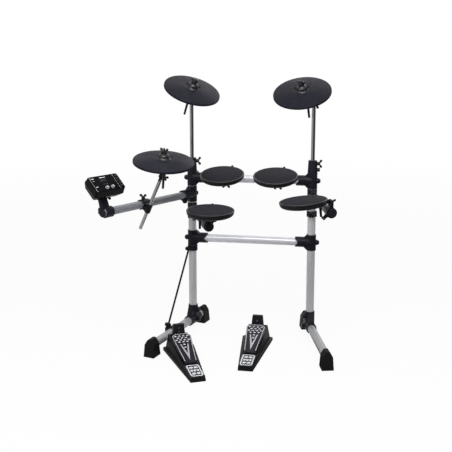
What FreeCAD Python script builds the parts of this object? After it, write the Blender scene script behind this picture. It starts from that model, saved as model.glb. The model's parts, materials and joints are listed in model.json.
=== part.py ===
import FreeCAD, Part
import math
import os
from FreeCAD import Placement, Rotation, Vector

# Cuts run past the faces they open by this much
overrun = 1.0

# Fits between pieces
tube_fit = 0.15
running_fit = 0.05
free_gap = 0.35

# Turns
full_turn_angle = 360.0
half_turn_angle = 180.0
quarter_angle = 90.0

# Rack tubes
tube_diameter = 38.0
tube_wall = 2.0
arm_tube_diameter = 35.0
upright_spacing = 570.0
upright_foot_height = 71.0
upper_bar_height = 748.0
lower_bar_drop = 292.0

# Moulded tee clamps on the uprights
tee_wall = 3.6
tee_length = 74.0
tee_reach = 75.0
tee_outlet_wall = 5.4
tee_gusset_thickness = 27.0
tee_notch_depth = 14.0
bar_end_gap = 1.6
boss_diameter = 25.0
boss_height = 8.0
outlet_boss_place = 55.0
notch_spread_share = 0.85

# Socket on each upper tee that takes a cymbal rod
socket_height = 95.0
socket_seat = 23.0
socket_base_diameter = 47.0
socket_top_diameter = 40.0
socket_boss_height = 80.0
socket_boss_diameter = 17.0
socket_bolt_height = 52.0

# Bolts of the clamps
bolt_diameter = 8.0
bolt_head_diameter = 19.0
bolt_head_height = 6.5
bolt_key_width = 6.0
bolt_key_depth = 4.0
bolt_key_sides = 6
bolt_chamfer_share = 0.25

# Wing bolts
wing_span = 38.0
wing_height = 16.5
wing_thickness = 7.0
wing_hub_diameter = 15.0
wing_hub_height = 7.5
wing_lobe_share = 0.34
wing_root_share = 0.25
wing_hub_top_share = 0.8
wing_foot_share = 0.15
wing_round_share = 0.2

# Floor legs
leg_splay_angle = 14.8
leg_axis_height = 48.0
leg_front_reach = 425.0
leg_rear_reach = 131.0
leg_tee_length = 96.0
leg_tee_top = 120.0
leg_sleeve_wall = 6.0
foot_length = 60.0
foot_width = 52.0
foot_height = 80.0
foot_shoulder_height = 57.0
foot_shoulder_share = 0.86
foot_ridge_share = 0.3
foot_rake = 7.0
foot_round = 6.0
foot_socket_depth = 44.0
foot_sole_groove = 2.0
foot_groove_count = 3

# Brace between the left upright and the left leg
brace_rod_diameter = 9.0
brace_collar_height = 24.0
brace_collar_gap = 2.0
brace_leg_place = 202.0
brace_eye_diameter = 17.0
brace_eye_width = 9.6
brace_upper_reach = 33.0
brace_lower_side = 25.0
brace_lower_rise = 28.0
brace_ring_wall = 8.0
brace_ring_length = 34.0
brace_arm_share = 0.8
collar_wall = 5.0
collar_lug_thickness = 4.0

# Stop collar on the right upright
stop_collar_height = 26.0
stop_collar_gap = 28.0

# Module arm and pad arms
module_tee_gap = 4.0
module_arm_angle = -26.8
module_arm_length = 583.0
snare_tee_gap = 6.0
snare_arm_angle = 23.7
snare_arm_length = 387.0
floor_tom_tee_gap = 3.0
floor_tom_arm_angle = 16.6
floor_tom_arm_length = 373.0
cap_thickness = 6.0
cap_plug_depth = 14.0
cap_rim = 1.0
cap_round_share = 0.6

# Pads
pad_diameter = 203.0
pad_head_thickness = 7.0
pad_head_round = 3.0
pad_depth = 26.0
pad_wall = 3.0
pad_rim_inset = 2.0
pad_rim_height = 8.0
pad_base_diameter = 154.0
pad_bend_out_share = 0.7
pad_bend_down_share = 0.67
pad_bend_wall_share = 0.75
pad_hinge_reach = 116.0
pad_hinge_drop = 20.0
pad_tongue_width = 14.0
pad_tongue_round = 9.0
pad_tongue_root = 80.0
pad_jack_diameter = 10.0
pad_jack_length = 50.0
pad_jack_back = 64.0
pad_jack_side = 24.0
snare_jack_back = -22.0
snare_jack_side = -47.0
jack_root_share = 1.2
jack_bore_diameter = 6.4
jack_bore_depth = 24.0

# Pad clamps
pad_clamp_length = 40.0
pad_clamp_wall = 5.0
snare_clamp_extra = 20.0
lock_boss_diameter = 17.0
lock_boss_height = 6.0
tom_lock_angle = 160.0
snare_lock_angle = -62.0
floor_tom_lock_angle = 130.0
pad_hinge_height = 46.0
snare_riser = 31.0
snare_fork_angle = 85.4
pad_fork_wall = 7.5
pad_fork_depth = 17.0
pad_fork_floor = 16.0
pad_pin_diameter = 8.0
left_tom_place = -118.0
right_tom_place = 127.0
snare_clamp_place = 340.0
floor_tom_clamp_place = 352.0
tom_tilt_angle = 13.6
snare_tilt_angle = 3.4
floor_tom_tilt_angle = 6.2

# Cymbals
cymbal_diameter = 265.0
cymbal_plate = 2.6
cymbal_skin = 3.6
cymbal_bow = 15.0
cymbal_bow_power = 1.5
cymbal_edge_lip = 7.0
cup_radius = 29.0
cup_wall = 3.4
cup_flare_angle = 36.0
cup_flare_share = 0.36
cup_hole_diameter = 19.0
skin_inner_diameter = 66.0
skin_step = 1.4
skin_round_share = 0.3
skin_groove_count = 4
groove_width = 2.4
groove_depth = 1.2
cymbal_jack_place = 58.0
cymbal_jack_diameter = 10.0
cymbal_jack_length = 112.0
crash_jack_angle = 8.0
ride_jack_angle = 22.0
hihat_jack_angle = 18.0
crash_nut_angle = 78.0
ride_nut_angle = 60.0
hihat_nut_angle = 84.0

# Cymbal rods and tilters
cymbal_rod_diameter = 19.0
hihat_rod_diameter = 16.0
cymbal_rod_length = 430.0
cymbal_rod_wall = 1.6
crash_pivot_rise = 358.0
ride_pivot_rise = 351.0
tilter_head_diameter = 24.0
tilter_head_width = 14.0
tilter_gap = 0.6
rod_neck_share = 0.92
rod_chamfer_share = 0.1
spacer_share = 0.7
tilter_pin_diameter = 7.0
tilter_post_diameter = 8.0
tilter_post_length = 74.0
tilter_neck_diameter = 14.0
seat_bottom = 6.0
seat_sleeve_diameter = 13.0
felt_diameter = 27.0
felt_top = 33.0
crash_tilter_offset = -14.6
ride_tilter_offset = -48.0
hihat_tilter_offset = -14.6
crash_tilt_angle = 28.6
crash_turn_angle = 44.0
ride_tilt_angle = 29.6
ride_turn_angle = -8.3
hihat_tilt_angle = 13.6
hihat_turn_angle = 30.6

# Hi-hat rod clamp on the module arm
hihat_clamp_place = 335.8
hihat_clamp_length = 44.0
hihat_rod_lean_angle = 28.1
hihat_rod_offset = 33.0
hihat_rod_above = 171.0
hihat_rod_below = 112.0
hihat_clamp_boss_diameter = 27.0
hihat_clamp_boss_length = 40.0
hihat_clamp_lock_angle = 32.0

# Sound module
module_width = 166.0
module_depth = 80.0
module_thickness = 54.0
module_corner = 9.0
module_wall = 3.0
module_side_taper = 14.0
module_back_taper = 8.0
module_front_bulge = 10.0
module_waist_share = 0.5
module_panel_thickness = 3.0
panel_chamfer_share = 0.4
module_tilt_angle = 44.5
module_hinge_place = 565.0
module_hinge_aside = 20.0
module_hinge_rise = 62.0
module_hinge_drop = 14.0
module_hinge_forward = 24.0
module_hinge_diameter = 7.0
bracket_ring_length = 40.0
bracket_ring_back = 10.0
bracket_wall = 6.0
bracket_ear_reach = 41.0
bracket_ear_height = 18.0
bracket_slit = 2.4
bracket_bolt_reach = 31.8
bracket_tongue_width = 34.0
bracket_tongue_round = 11.0
bracket_neck_share = 0.9
bracket_foot_share = 0.8
ear_round_share = 0.4
module_lug_thickness = 6.0
module_lug_round = 10.0
display_width = 40.0
display_depth = 18.0
display_thickness = 2.0
display_across = -12.0
display_back = 15.0
knob_diameter = 16.0
knob_height = 10.0
knob_skirt = 2.0
knob_shaft_diameter = 6.0
knob_shaft_depth = 12.0
knob_spacing = 31.0
knob_across = -17.0
knob_back = -26.0
knob_base_share = 0.86
knob_top_share = 0.78
knob_flute_count = 10
knob_flute_place_share = 0.92
knob_flute_share = 0.13
knob_mark_share = 0.07
button_width = 14.0
button_depth = 7.0
button_height = 5.4
button_round_share = 0.3
button_rise = 2.0
button_travel = 1.2
button_across = 68.0
button_count = 5
button_pitch = 13.0
left_strip_width = 8.0
right_strip_width = 29.0
strip_groove = 1.6

# Foot pedals
pedal_length = 392.0
pedal_flange_heel_width = 64.0
pedal_flange_toe_width = 146.0
pedal_flange_height = 10.0
pedal_flange_round = 14.0
pedal_heel_width = 62.0
pedal_toe_width = 114.0
pedal_heel_top_width = 59.0
pedal_toe_top_width = 90.0
pedal_heel_height = 23.0
pedal_heel_slope = 5.0
pedal_toe_height = 67.0
pedal_bed_start = 15.0
pedal_wall = 7.0
pedal_floor = 7.0
pedal_well_gap = 28.0
pedal_heel_length = 119.0
pedal_hinge_gap = 11.0
pedal_hinge_height = 30.0
pedal_pin_diameter = 6.0
pedal_knuckle_diameter = 13.0
pedal_ear_width = 8.0
board_toe_gap = 23.0
board_toe_rise = 12.85
board_waist_width = 52.0
board_toe_width = 86.0
board_corner = 16.0
board_thickness = 4.0
board_lip = 12.0
board_lip_wall = 3.0
board_travel_angle = 2.8
tower_width = 57.0
tower_top_width = 47.0
tower_depth = 26.0
tower_height = 118.0
tower_lean = 9.0
sensor_length = 26.0
sensor_width = 34.0
sensor_place_share = 0.7075
kick_toe_across = 49.0
kick_toe_ahead = -85.0
kick_turn_angle = 0.0
hihat_toe_across = -296.0
hihat_toe_ahead = -268.0
hihat_pedal_turn_angle = 26.3

# Sizes that follow from those above
tube_radius = tube_diameter / 2
arm_radius = arm_tube_diameter / 2
tube_bore = tube_radius + tube_fit
arm_bore = arm_radius + tube_fit
tee_radius = tube_radius + tee_wall
outlet_radius = tube_radius + tee_outlet_wall
bar_seat = tee_radius + bar_end_gap
upright_top_height = upper_bar_height + socket_seat
lower_bar_height = upper_bar_height - lower_bar_drop
module_arm_height = upper_bar_height - tee_length - module_tee_gap
snare_arm_height = module_arm_height - tee_length - snare_tee_gap
floor_tom_arm_height = upper_bar_height - tee_length - floor_tom_tee_gap
stop_collar_bottom = floor_tom_arm_height - tee_length / 2 - stop_collar_gap - stop_collar_height
crash_pivot_height = upper_bar_height + crash_pivot_rise
ride_pivot_height = upper_bar_height + ride_pivot_rise
module_turn_angle = module_arm_angle + quarter_angle
pedal_hinge_place = pedal_heel_length + pedal_hinge_gap
board_run = pedal_length - pedal_wall - tower_depth - board_toe_gap - pedal_hinge_place
board_rise = pedal_toe_height + board_toe_rise - pedal_hinge_height
board_length = math.hypot(board_run, board_rise)
board_slope_angle = math.degrees(math.atan2(board_rise, board_run))
sensor_place = board_length * sensor_place_share
bolt_radius = bolt_diameter / 2
bolt_bore = bolt_radius + tube_fit
half_span = upright_spacing / 2
left_foot = Vector(-half_span, 0, 0)
right_foot = Vector(half_span, 0, 0)
to_right = Vector(1, 0, 0)
up = Vector(0, 0, 1)
nodes = {}


def direction(turn):
    """Level direction turned from straight ahead of the player's side towards the right."""
    a = math.radians(turn)
    return Vector(math.sin(a), -math.cos(a), 0)


def tilted(tilt, turn):
    """Direction that leans from the vertical by tilt, towards the level direction of turn."""
    t = math.radians(tilt)
    return direction(turn) * math.sin(t) + up * math.cos(t)


def frame_at(origin, x_axis, z_axis):
    """Placement whose own x and z axes lie along the given directions."""
    z = Vector(z_axis).normalize()
    x = Vector(x_axis)
    x = (x - z * x.dot(z)).normalize()
    return Placement(origin, Rotation(x, z.cross(x), z, "ZXY"))


def moved(shape, placement):
    """Copy of a shape carried from its own frame to a placement."""
    return shape.transformed(placement.toMatrix(), True)


def moved_all(shapes, placement):
    """Copies of several shapes carried to a placement."""
    return [moved(s, placement) for s in shapes]


def rod(radius, start, end):
    """Round bar between two points."""
    way = end - start
    return Part.makeCylinder(radius, way.Length, start, way)


def tube(outer_radius, inner_radius, start, end):
    """Round tube between two points."""
    way = Vector(end - start).normalize() * overrun
    return rod(outer_radius, start, end).cut(rod(inner_radius, start - way, end + way))


def block(x, y, z):
    """Box between pairs of limits along the three axes."""
    size = [b - a for a, b in (x, y, z)]
    return Part.makeBox(size[0], size[1], size[2], Vector(x[0], y[0], z[0]))


def polygon_face(points):
    """Flat face inside a closed run of straight lines."""
    return Part.Face(Part.makePolygon(list(points) + [points[0]]))


def side_prism(points, half_width):
    """Prism of an outline in the xz plane, spread evenly along y."""
    face = polygon_face([Vector(x, -half_width, z) for x, z in points])
    return face.extrude(Vector(0, 2 * half_width, 0))


def front_prism(points, half_width):
    """Prism of an outline in the yz plane, spread evenly along x."""
    face = polygon_face([Vector(-half_width, y, z) for y, z in points])
    return face.extrude(Vector(2 * half_width, 0, 0))


def plan_prism(points, bottom, top):
    """Prism of an outline in the xy plane between two heights."""
    face = polygon_face([Vector(x, y, bottom) for x, y in points])
    return face.extrude(Vector(0, 0, top - bottom))


def turned(edges):
    """Solid of revolution about the z axis from a closed run of edges in the xz plane."""
    return Part.Face(Part.Wire(edges)).revolve(Vector(0, 0, 0), up, full_turn_angle)


def line(a, b):
    """Straight edge in the xz plane."""
    return Part.LineSegment(Vector(a[0], 0, a[1]), Vector(b[0], 0, b[1])).toShape()


def arc(a, mid, b):
    """Round edge in the xz plane through three points."""
    points = [Vector(p[0], 0, p[1]) for p in (a, mid, b)]
    return Part.Arc(*points).toShape()


def lines(points):
    """Closed run of straight edges in the xz plane."""
    return [line(a, b) for a, b in zip(points, points[1:] + points[:1])]


def on_circle(radius, angle, centre=(0.0, 0.0)):
    """Point of a circle in the xz plane, its angle counted from the x axis."""
    a = math.radians(angle)
    return (centre[0] + radius * math.cos(a), centre[1] + radius * math.sin(a))


def tangent_angle(point, centre, radius, side):
    """Angle on a circle at which a line from an outer point touches it; side is 1 or -1."""
    x = point[0] - centre[0]
    z = point[1] - centre[1]
    return math.degrees(math.atan2(z, x) + side * math.acos(radius / math.hypot(x, z)))


def key_bolt(reach):
    """Clamp bolt with a key socket: its head stands up from z 0 and its shank goes down by reach."""
    head = Part.makeCylinder(bolt_head_diameter / 2, bolt_head_height)
    head = head.makeChamfer(bolt_head_height * bolt_chamfer_share, [head.Edges[0]])
    key_radius = bolt_key_width / math.sqrt(3)
    corners = [on_circle(key_radius, full_turn_angle / bolt_key_sides * i) for i in range(bolt_key_sides)]
    key = plan_prism(corners, bolt_head_height - bolt_key_depth, bolt_head_height + overrun)
    shank = Part.makeCylinder(bolt_radius, reach, Vector(0, 0, -reach))
    return head.cut(key).fuse(shank).removeSplitter()


def wing_head(radius_of_bore=0.0):
    """Hub with two rounded wings that rise outwards along x, standing up from z 0."""
    hub = Part.makeCone(wing_hub_diameter / 2, wing_hub_diameter / 2 * wing_hub_top_share, wing_hub_height)
    root = wing_hub_diameter * wing_root_share
    lobe = wing_height * wing_lobe_share
    centre = (wing_span / 2 - lobe, wing_height - lobe)
    low = (root, wing_hub_height * wing_foot_share)
    high = (root, wing_hub_height)
    first = tangent_angle(low, centre, lobe, 1)
    last = tangent_angle(high, centre, lobe, -1) + full_turn_angle
    rim = [on_circle(lobe, a, centre) for a in (first, (first + last) / 2, last)]
    face = Part.Face(Part.Wire([line(low, rim[0]), arc(*rim), line(rim[2], high), line(high, low)]))
    wing = face.extrude(Vector(0, wing_thickness, 0))
    wing.translate(Vector(0, -wing_thickness / 2, 0))
    edges = [e for e in wing.Edges if e.BoundBox.YLength < tube_fit and e.BoundBox.XLength > tube_fit]
    wing = wing.makeFillet(wing_thickness * wing_round_share, edges)
    other = wing.mirror(Vector(0, 0, 0), Vector(1, 0, 0))
    shape = hub.fuse([wing, other]).removeSplitter()
    if radius_of_bore:
        shape = shape.cut(Part.makeCylinder(radius_of_bore, wing_height + overrun, Vector(0, 0, -overrun)))
    return shape


def wing_bolt(shank_radius, reach):
    """Wing bolt: its wings stand up from z 0 and its shank goes down by reach."""
    shank = Part.makeCylinder(shank_radius, reach, Vector(0, 0, -reach))
    return wing_head().fuse(shank).removeSplitter()


def tee_blank():
    """Tee with its barrel on z and its outlet on x, with slanted webs between them and no bores."""
    half = tee_length / 2
    barrel = Part.makeCylinder(tee_radius, tee_length, Vector(0, 0, -half))
    outlet = Part.makeCylinder(outlet_radius, tee_reach, Vector(0, 0, 0), Vector(1, 0, 0))
    web_foot = half - tee_wall
    web_end = tee_radius + web_foot - outlet_radius + tee_wall
    web = side_prism([(0, -web_foot), (tee_radius, -web_foot), (web_end, -outlet_radius + tee_wall),
                      (web_end, outlet_radius - tee_wall), (tee_radius, web_foot), (0, web_foot)],
                     tee_gusset_thickness / 2)
    return barrel.fuse([outlet, web])


def tee_bored(blank, barrel_top, bar_bore_radius):
    """Cuts the upright's bore, the bar's bore and the notched mouth out of a tee."""
    half = tee_length / 2
    upright_bore = Part.makeCylinder(tube_bore, half + barrel_top + overrun, Vector(0, 0, -half - overrun))
    bar_bore = Part.makeCylinder(bar_bore_radius, tee_reach, Vector(bar_seat, 0, 0), Vector(1, 0, 0))
    notch_spread = outlet_radius * notch_spread_share
    notch = side_prism([(tee_reach - tee_notch_depth, 0), (tee_reach + overrun, notch_spread),
                        (tee_reach + overrun, -notch_spread)], outlet_radius + overrun)
    return blank.cut([upright_bore, bar_bore, notch]).removeSplitter()


def barrel_boss_bolt(height):
    """Placement of the bolt on a barrel's back, opposite the outlet."""
    return frame_at(Vector(-tee_radius - boss_height, 0, height), up, Vector(-1, 0, 0))


def outlet_boss_bolt(side):
    """Placement of the bolt on an outlet; side is the way its boss points."""
    place = Vector(outlet_boss_place, 0, 0) + side * (outlet_radius + boss_height)
    return frame_at(place, Vector(1, 0, 0), side)


def plain_tee(side, bar_bore_radius):
    """Tee clamp with its two key bolts; side is the way the outlet's boss points."""
    blank = tee_blank()
    back_reach = tee_radius + boss_height
    side_reach = outlet_radius + boss_height
    radius = boss_diameter / 2
    blank = blank.fuse([rod(radius, Vector(-back_reach, 0, 0), Vector(0, 0, 0)),
                        rod(radius, Vector(outlet_boss_place, 0, 0),
                            Vector(outlet_boss_place, 0, 0) + side * side_reach)])
    tee = tee_bored(blank, tee_length / 2, bar_bore_radius)
    holes = [rod(bolt_bore, Vector(-back_reach - overrun, 0, 0), Vector(0, 0, 0)),
             rod(bolt_bore, Vector(outlet_boss_place, 0, 0),
                 Vector(outlet_boss_place, 0, 0) + side * (side_reach + overrun))]
    tee = tee.cut(holes).removeSplitter()
    bolts = [moved(key_bolt(back_reach - tube_bore), barrel_boss_bolt(0)),
             moved(key_bolt(side_reach - bar_bore_radius), outlet_boss_bolt(side))]
    return tee, bolts


def socket_tee(wing_way, side, pinched):
    """Upper tee with the tapered rod socket on top.

    wing_way is the way its wing bolt points and side the way of the outlet's boss; a pinched
    socket has a second bolt below the wing bolt.
    """
    half = tee_length / 2
    blank = tee_blank()
    back_reach = tee_radius + boss_height
    side_reach = outlet_radius + boss_height
    radius = boss_diameter / 2
    base = half - tee_wall * 2
    cone = Part.makeCone(socket_base_diameter / 2, socket_top_diameter / 2, socket_height - base,
                         Vector(0, 0, base))
    cone = cone.makeFillet(tee_wall / 2, [max(cone.Edges, key=lambda e: e.BoundBox.ZMin)])
    wing_foot = Vector(0, 0, socket_boss_height)
    wing_reach = socket_base_diameter / 2 + tee_wall
    pinch_foot = Vector(0, 0, socket_bolt_height)
    outlet_foot = Vector(outlet_boss_place, 0, 0)
    blank = blank.fuse([cone,
                        rod(radius, Vector(-back_reach, 0, 0), Vector(0, 0, 0)),
                        rod(radius, outlet_foot, outlet_foot + side * side_reach),
                        rod(socket_boss_diameter / 2, wing_foot, wing_foot + wing_way * wing_reach)])
    if pinched:
        blank = blank.fuse(rod(socket_boss_diameter / 2, pinch_foot, pinch_foot - Vector(wing_reach, 0, 0)))
    tee = tee_bored(blank, socket_seat, tube_bore)
    rod_bore = cymbal_rod_diameter / 2 + running_fit
    holes = [rod(rod_bore, Vector(0, 0, 0), Vector(0, 0, socket_height + overrun)),
             rod(bolt_bore, Vector(-back_reach - overrun, 0, 0), Vector(0, 0, 0)),
             rod(bolt_bore, outlet_foot, outlet_foot + side * (side_reach + overrun)),
             rod(bolt_bore, wing_foot, wing_foot + wing_way * (wing_reach + overrun))]
    rod_reach = wing_reach - rod_bore - free_gap
    bolts = [moved(key_bolt(back_reach - tube_bore), barrel_boss_bolt(0)),
             moved(key_bolt(side_reach - tube_bore), outlet_boss_bolt(side))]
    if pinched:
        holes.append(rod(bolt_bore, pinch_foot, pinch_foot - Vector(wing_reach + overrun, 0, 0)))
        bolts.append(moved(key_bolt(rod_reach),
                           frame_at(pinch_foot - Vector(wing_reach, 0, 0), up, Vector(-1, 0, 0))))
    tee = tee.cut(holes).removeSplitter()
    wing = moved(wing_bolt(bolt_radius, rod_reach), frame_at(wing_foot + wing_way * wing_reach, up, wing_way))
    return tee, bolts, wing


def leg_tee(inward):
    """Tee that joins an upright to its floor leg: the leg runs along x and the upright stands on it.

    inward is 1 or -1, the side along y on which its two bolts sit.
    """
    back = Vector(0, inward, 0)
    half = leg_tee_length / 2
    sleeve_radius = tube_radius + leg_sleeve_wall
    axis = Vector(0, 0, leg_axis_height)
    sleeve = Part.makeCylinder(sleeve_radius, leg_tee_length, axis - Vector(half, 0, 0), Vector(1, 0, 0))
    barrel = Part.makeCylinder(tee_radius, leg_tee_top - leg_axis_height, axis)
    web = side_prism([(-half + leg_sleeve_wall, leg_axis_height), (half - leg_sleeve_wall, leg_axis_height),
                      (half - leg_sleeve_wall, leg_axis_height + sleeve_radius - leg_sleeve_wall),
                      (tee_radius, leg_tee_top - leg_sleeve_wall),
                      (-tee_radius, leg_tee_top - leg_sleeve_wall),
                      (-half + leg_sleeve_wall, leg_axis_height + sleeve_radius - leg_sleeve_wall)],
                     tee_gusset_thickness / 2)
    boss_level = (upright_foot_height + leg_tee_top) / 2
    boss_reach = tee_radius + boss_height
    side_reach = sleeve_radius + boss_height
    radius = boss_diameter / 2
    upper = Vector(0, 0, boss_level)
    tee = sleeve.fuse([barrel, web, rod(radius, upper, upper + back * boss_reach),
                       rod(radius, axis, axis + back * side_reach)])
    tee = tee.cut([Part.makeCylinder(tube_bore, leg_tee_length + 2 * overrun,
                                     axis - Vector(half + overrun, 0, 0), Vector(1, 0, 0)),
                   Part.makeCylinder(tube_bore, leg_tee_top, Vector(0, 0, upright_foot_height)),
                   rod(bolt_bore, upper, upper + back * (boss_reach + overrun)),
                   rod(bolt_bore, axis, axis + back * (side_reach + overrun))]).removeSplitter()
    bolts = [moved(key_bolt(boss_reach - tube_bore), frame_at(upper + back * boss_reach, up, back)),
             moved(key_bolt(side_reach - tube_bore), frame_at(axis + back * side_reach, up, back))]
    return tee, bolts


def foot():
    """Rubber foot on a leg's end: its outer end is at x 0 and the leg enters from the negative side."""
    half = foot_width / 2
    shoulder = half * foot_shoulder_share
    ridge = half * foot_ridge_share
    shape = front_prism([(-half, 0), (half, 0), (shoulder, foot_shoulder_height), (ridge, foot_height),
                         (-ridge, foot_height), (-shoulder, foot_shoulder_height)], foot_length / 2)
    shape.translate(Vector(-foot_length / 2, 0, 0))
    rake = [(0, 0), (overrun, 0), (overrun, foot_height + overrun), (-foot_rake, foot_height + overrun)]
    ends = [side_prism(rake, foot_width), side_prism([(-foot_length - x, z) for x, z in rake], foot_width)]
    shape = shape.cut(ends).removeSplitter()
    long_edges = [e for e in shape.Edges if e.BoundBox.XLength > foot_length / 2]
    shape = shape.makeFillet(foot_round, [e for e in long_edges if e.BoundBox.ZMin > foot_rake])
    socket = Part.makeCylinder(tube_bore, foot_socket_depth + overrun,
                               Vector(-foot_length - overrun, 0, leg_axis_height), Vector(1, 0, 0))
    step = foot_length / (foot_groove_count + 1)
    grooves = []
    for i in range(foot_groove_count):
        at = -foot_length + step * (i + 1)
        grooves.append(block((at - foot_sole_groove, at + foot_sole_groove), (-foot_width, foot_width),
                             (-overrun, foot_sole_groove)))
    return shape.cut([socket] + grooves).removeSplitter()


def split_ring(bar_radius, length, wall, ear_way, ear_reach, ear_height):
    """Clamp ring on a tube along x with a pair of ears parted by a slit; ear_way is 1 or -1 along y."""
    half = length / 2
    ring = Part.makeCylinder(bar_radius + wall, length, Vector(-half, 0, 0), Vector(1, 0, 0))
    sign = 1 if ear_way > 0 else -1
    ears = block((-half, half), tuple(sorted((0.0, sign * ear_reach))), (-ear_height / 2, ear_height / 2))
    long_edges = [e for e in ears.Edges if abs(e.CenterOfMass.y - sign * ear_reach) < tube_fit
                  and e.BoundBox.ZLength > ear_height / 2]
    ears = ears.makeFillet(ear_height * ear_round_share, long_edges)
    bore = Part.makeCylinder(bar_radius + tube_fit, length + 2 * overrun, Vector(-half - overrun, 0, 0),
                             Vector(1, 0, 0))
    slit = block((-half - overrun, half + overrun), tuple(sorted((0.0, sign * (ear_reach + overrun)))),
                 (-bracket_slit / 2, bracket_slit / 2))
    return ring.fuse(ears), [bore, slit]


def locked_ring(bar_radius, start, end, lock_turn, span_way):
    """Clamp ring on a tube along x between two places, with the wing bolt that locks it.

    lock_turn is counted from z about x, and span_way is the way of the bolt's wings. Returns the
    ring with its boss, the cuts still to be made in it, and the wing bolt.
    """
    ring = rod(bar_radius + pad_clamp_wall, Vector(start, 0, 0), Vector(end, 0, 0))
    out = Rotation(Vector(1, 0, 0), lock_turn).multVec(up)
    reach = bar_radius + pad_clamp_wall + lock_boss_height
    boss = rod(lock_boss_diameter / 2, Vector(0, 0, 0), out * reach)
    cuts = [rod(bar_radius + tube_fit, Vector(start - overrun, 0, 0), Vector(end + overrun, 0, 0)),
            rod(bolt_bore, Vector(0, 0, 0), out * (reach + overrun))]
    wing = moved(wing_bolt(bolt_radius, reach - bar_radius - tube_fit), frame_at(out * reach, span_way, out))
    return ring.fuse(boss), cuts, wing


def pad_clamp(bar_radius, riser, fork_turn, lock_turn, extra):
    """Clamp that carries a pad's hinge above a tube along x; extra makes its ring longer at the far end.

    The hinge pin lies along x, turned by fork_turn about z. Returns the clamp, its wing bolt and
    its hinge pin.
    """
    height = pad_hinge_height + riser
    half_ring = pad_clamp_length / 2
    body, cuts, lock = locked_ring(bar_radius, -half_ring, half_ring + extra, lock_turn, Vector(1, 0, 0))
    gap = pad_tongue_width / 2 + free_gap
    fork_half = gap + pad_fork_wall
    half_depth = pad_fork_depth / 2
    fork = block((-fork_half, fork_half), (-half_depth, half_depth), (0, height))
    fork = fork.fuse(rod(half_depth, Vector(-fork_half, 0, height), Vector(fork_half, 0, height)))
    slot = block((-gap, gap), (-pad_fork_depth, pad_fork_depth),
                 (height - pad_fork_floor, height + pad_fork_depth))
    pin_bore = rod(pad_pin_diameter / 2 + running_fit, Vector(-fork_half - overrun, 0, height),
                   Vector(fork_half + overrun, 0, height))
    fork = fork.cut([slot, pin_bore])
    pin = moved(wing_bolt(pad_pin_diameter / 2, 2 * fork_half + wing_hub_height / 2),
                frame_at(Vector(fork_half, 0, height), Vector(0, 1, 1), Vector(1, 0, 0)))
    fork, pin = moved_all([fork, pin], Placement(Vector(0, 0, 0), Rotation(up, fork_turn)))
    clamp = body.fuse(fork).cut(cuts).removeSplitter()
    return clamp, lock, pin


def pad_head():
    """Rubber playing head: a flat disc with a rounded rim, its top centre at the origin."""
    radius = pad_diameter / 2
    disc = Part.makeCylinder(radius, pad_head_thickness, Vector(0, 0, -pad_head_thickness))
    return disc.makeFillet(pad_head_round, [max(disc.Edges, key=lambda e: e.BoundBox.ZMin)])


def pad_shell(jack_side, jack_back):
    """Hollow dish under the head, with the hinge tongue at its back and the jack below at the given place."""
    top = -pad_head_thickness
    rim = pad_diameter / 2 - pad_rim_inset
    low = -pad_depth
    shoulder = top - pad_rim_height
    base = pad_base_diameter / 2
    bend = (base + (rim - base) * pad_bend_out_share, shoulder + (low - shoulder) * pad_bend_down_share)
    outer = turned([line((0, top), (rim, top)), line((rim, top), (rim, shoulder)),
                    arc((rim, shoulder), bend, (base, low)), line((base, low), (0, low)),
                    line((0, low), (0, top))])
    inner_bend = (bend[0] - pad_wall * pad_bend_wall_share, bend[1] + pad_wall * pad_bend_wall_share)
    inner = turned([line((0, top + overrun), (rim - pad_wall, top + overrun)),
                    line((rim - pad_wall, top + overrun), (rim - pad_wall, shoulder)),
                    arc((rim - pad_wall, shoulder), inner_bend, (base - pad_wall, low + pad_wall)),
                    line((base - pad_wall, low + pad_wall), (0, low + pad_wall)),
                    line((0, low + pad_wall), (0, top + overrun))])
    hinge = (pad_hinge_reach, -pad_hinge_drop)
    tongue = front_prism([(pad_tongue_root, low), (pad_tongue_root, top - pad_wall),
                          (rim, top - pad_wall), (hinge[0], hinge[1] + pad_tongue_round),
                          (hinge[0], hinge[1] - pad_tongue_round)], pad_tongue_width / 2)
    knuckle = rod(pad_tongue_round, Vector(-pad_tongue_width / 2, hinge[0], hinge[1]),
                  Vector(pad_tongue_width / 2, hinge[0], hinge[1]))
    pin_bore = rod(pad_pin_diameter / 2 + running_fit, Vector(-pad_tongue_width, hinge[0], hinge[1]),
                   Vector(pad_tongue_width, hinge[0], hinge[1]))
    jack_at = Vector(jack_side, jack_back, low + pad_wall / 2)
    jack_radius = pad_jack_diameter / 2
    jack = Part.makeCone(jack_radius * jack_root_share, jack_radius, pad_jack_length, jack_at, -up)
    jack_bore = Part.makeCylinder(jack_bore_diameter / 2, jack_bore_depth + overrun,
                                  jack_at - up * (pad_jack_length + overrun), up)
    return outer.cut(inner).fuse([tongue, knuckle, jack]).cut([pin_bore, jack_bore]).removeSplitter()


def pad_frame(hinge_point, turn, tilt):
    """Placement of a pad whose front points along turn, held at its hinge."""
    side = up.cross(direction(turn))
    place = frame_at(Vector(0, 0, 0), side, tilted(tilt, turn))
    place.Base = hinge_point - place.multVec(Vector(0, pad_hinge_reach, -pad_hinge_drop))
    return place


def cymbal_top(radius):
    """Height of the plate's top face at a radius, in the cymbal's own frame."""
    edge = cymbal_diameter / 2
    start = skin_inner_diameter / 2
    share = (radius - start) / (edge - start)
    return cymbal_plate - cymbal_bow * share ** cymbal_bow_power


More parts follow.
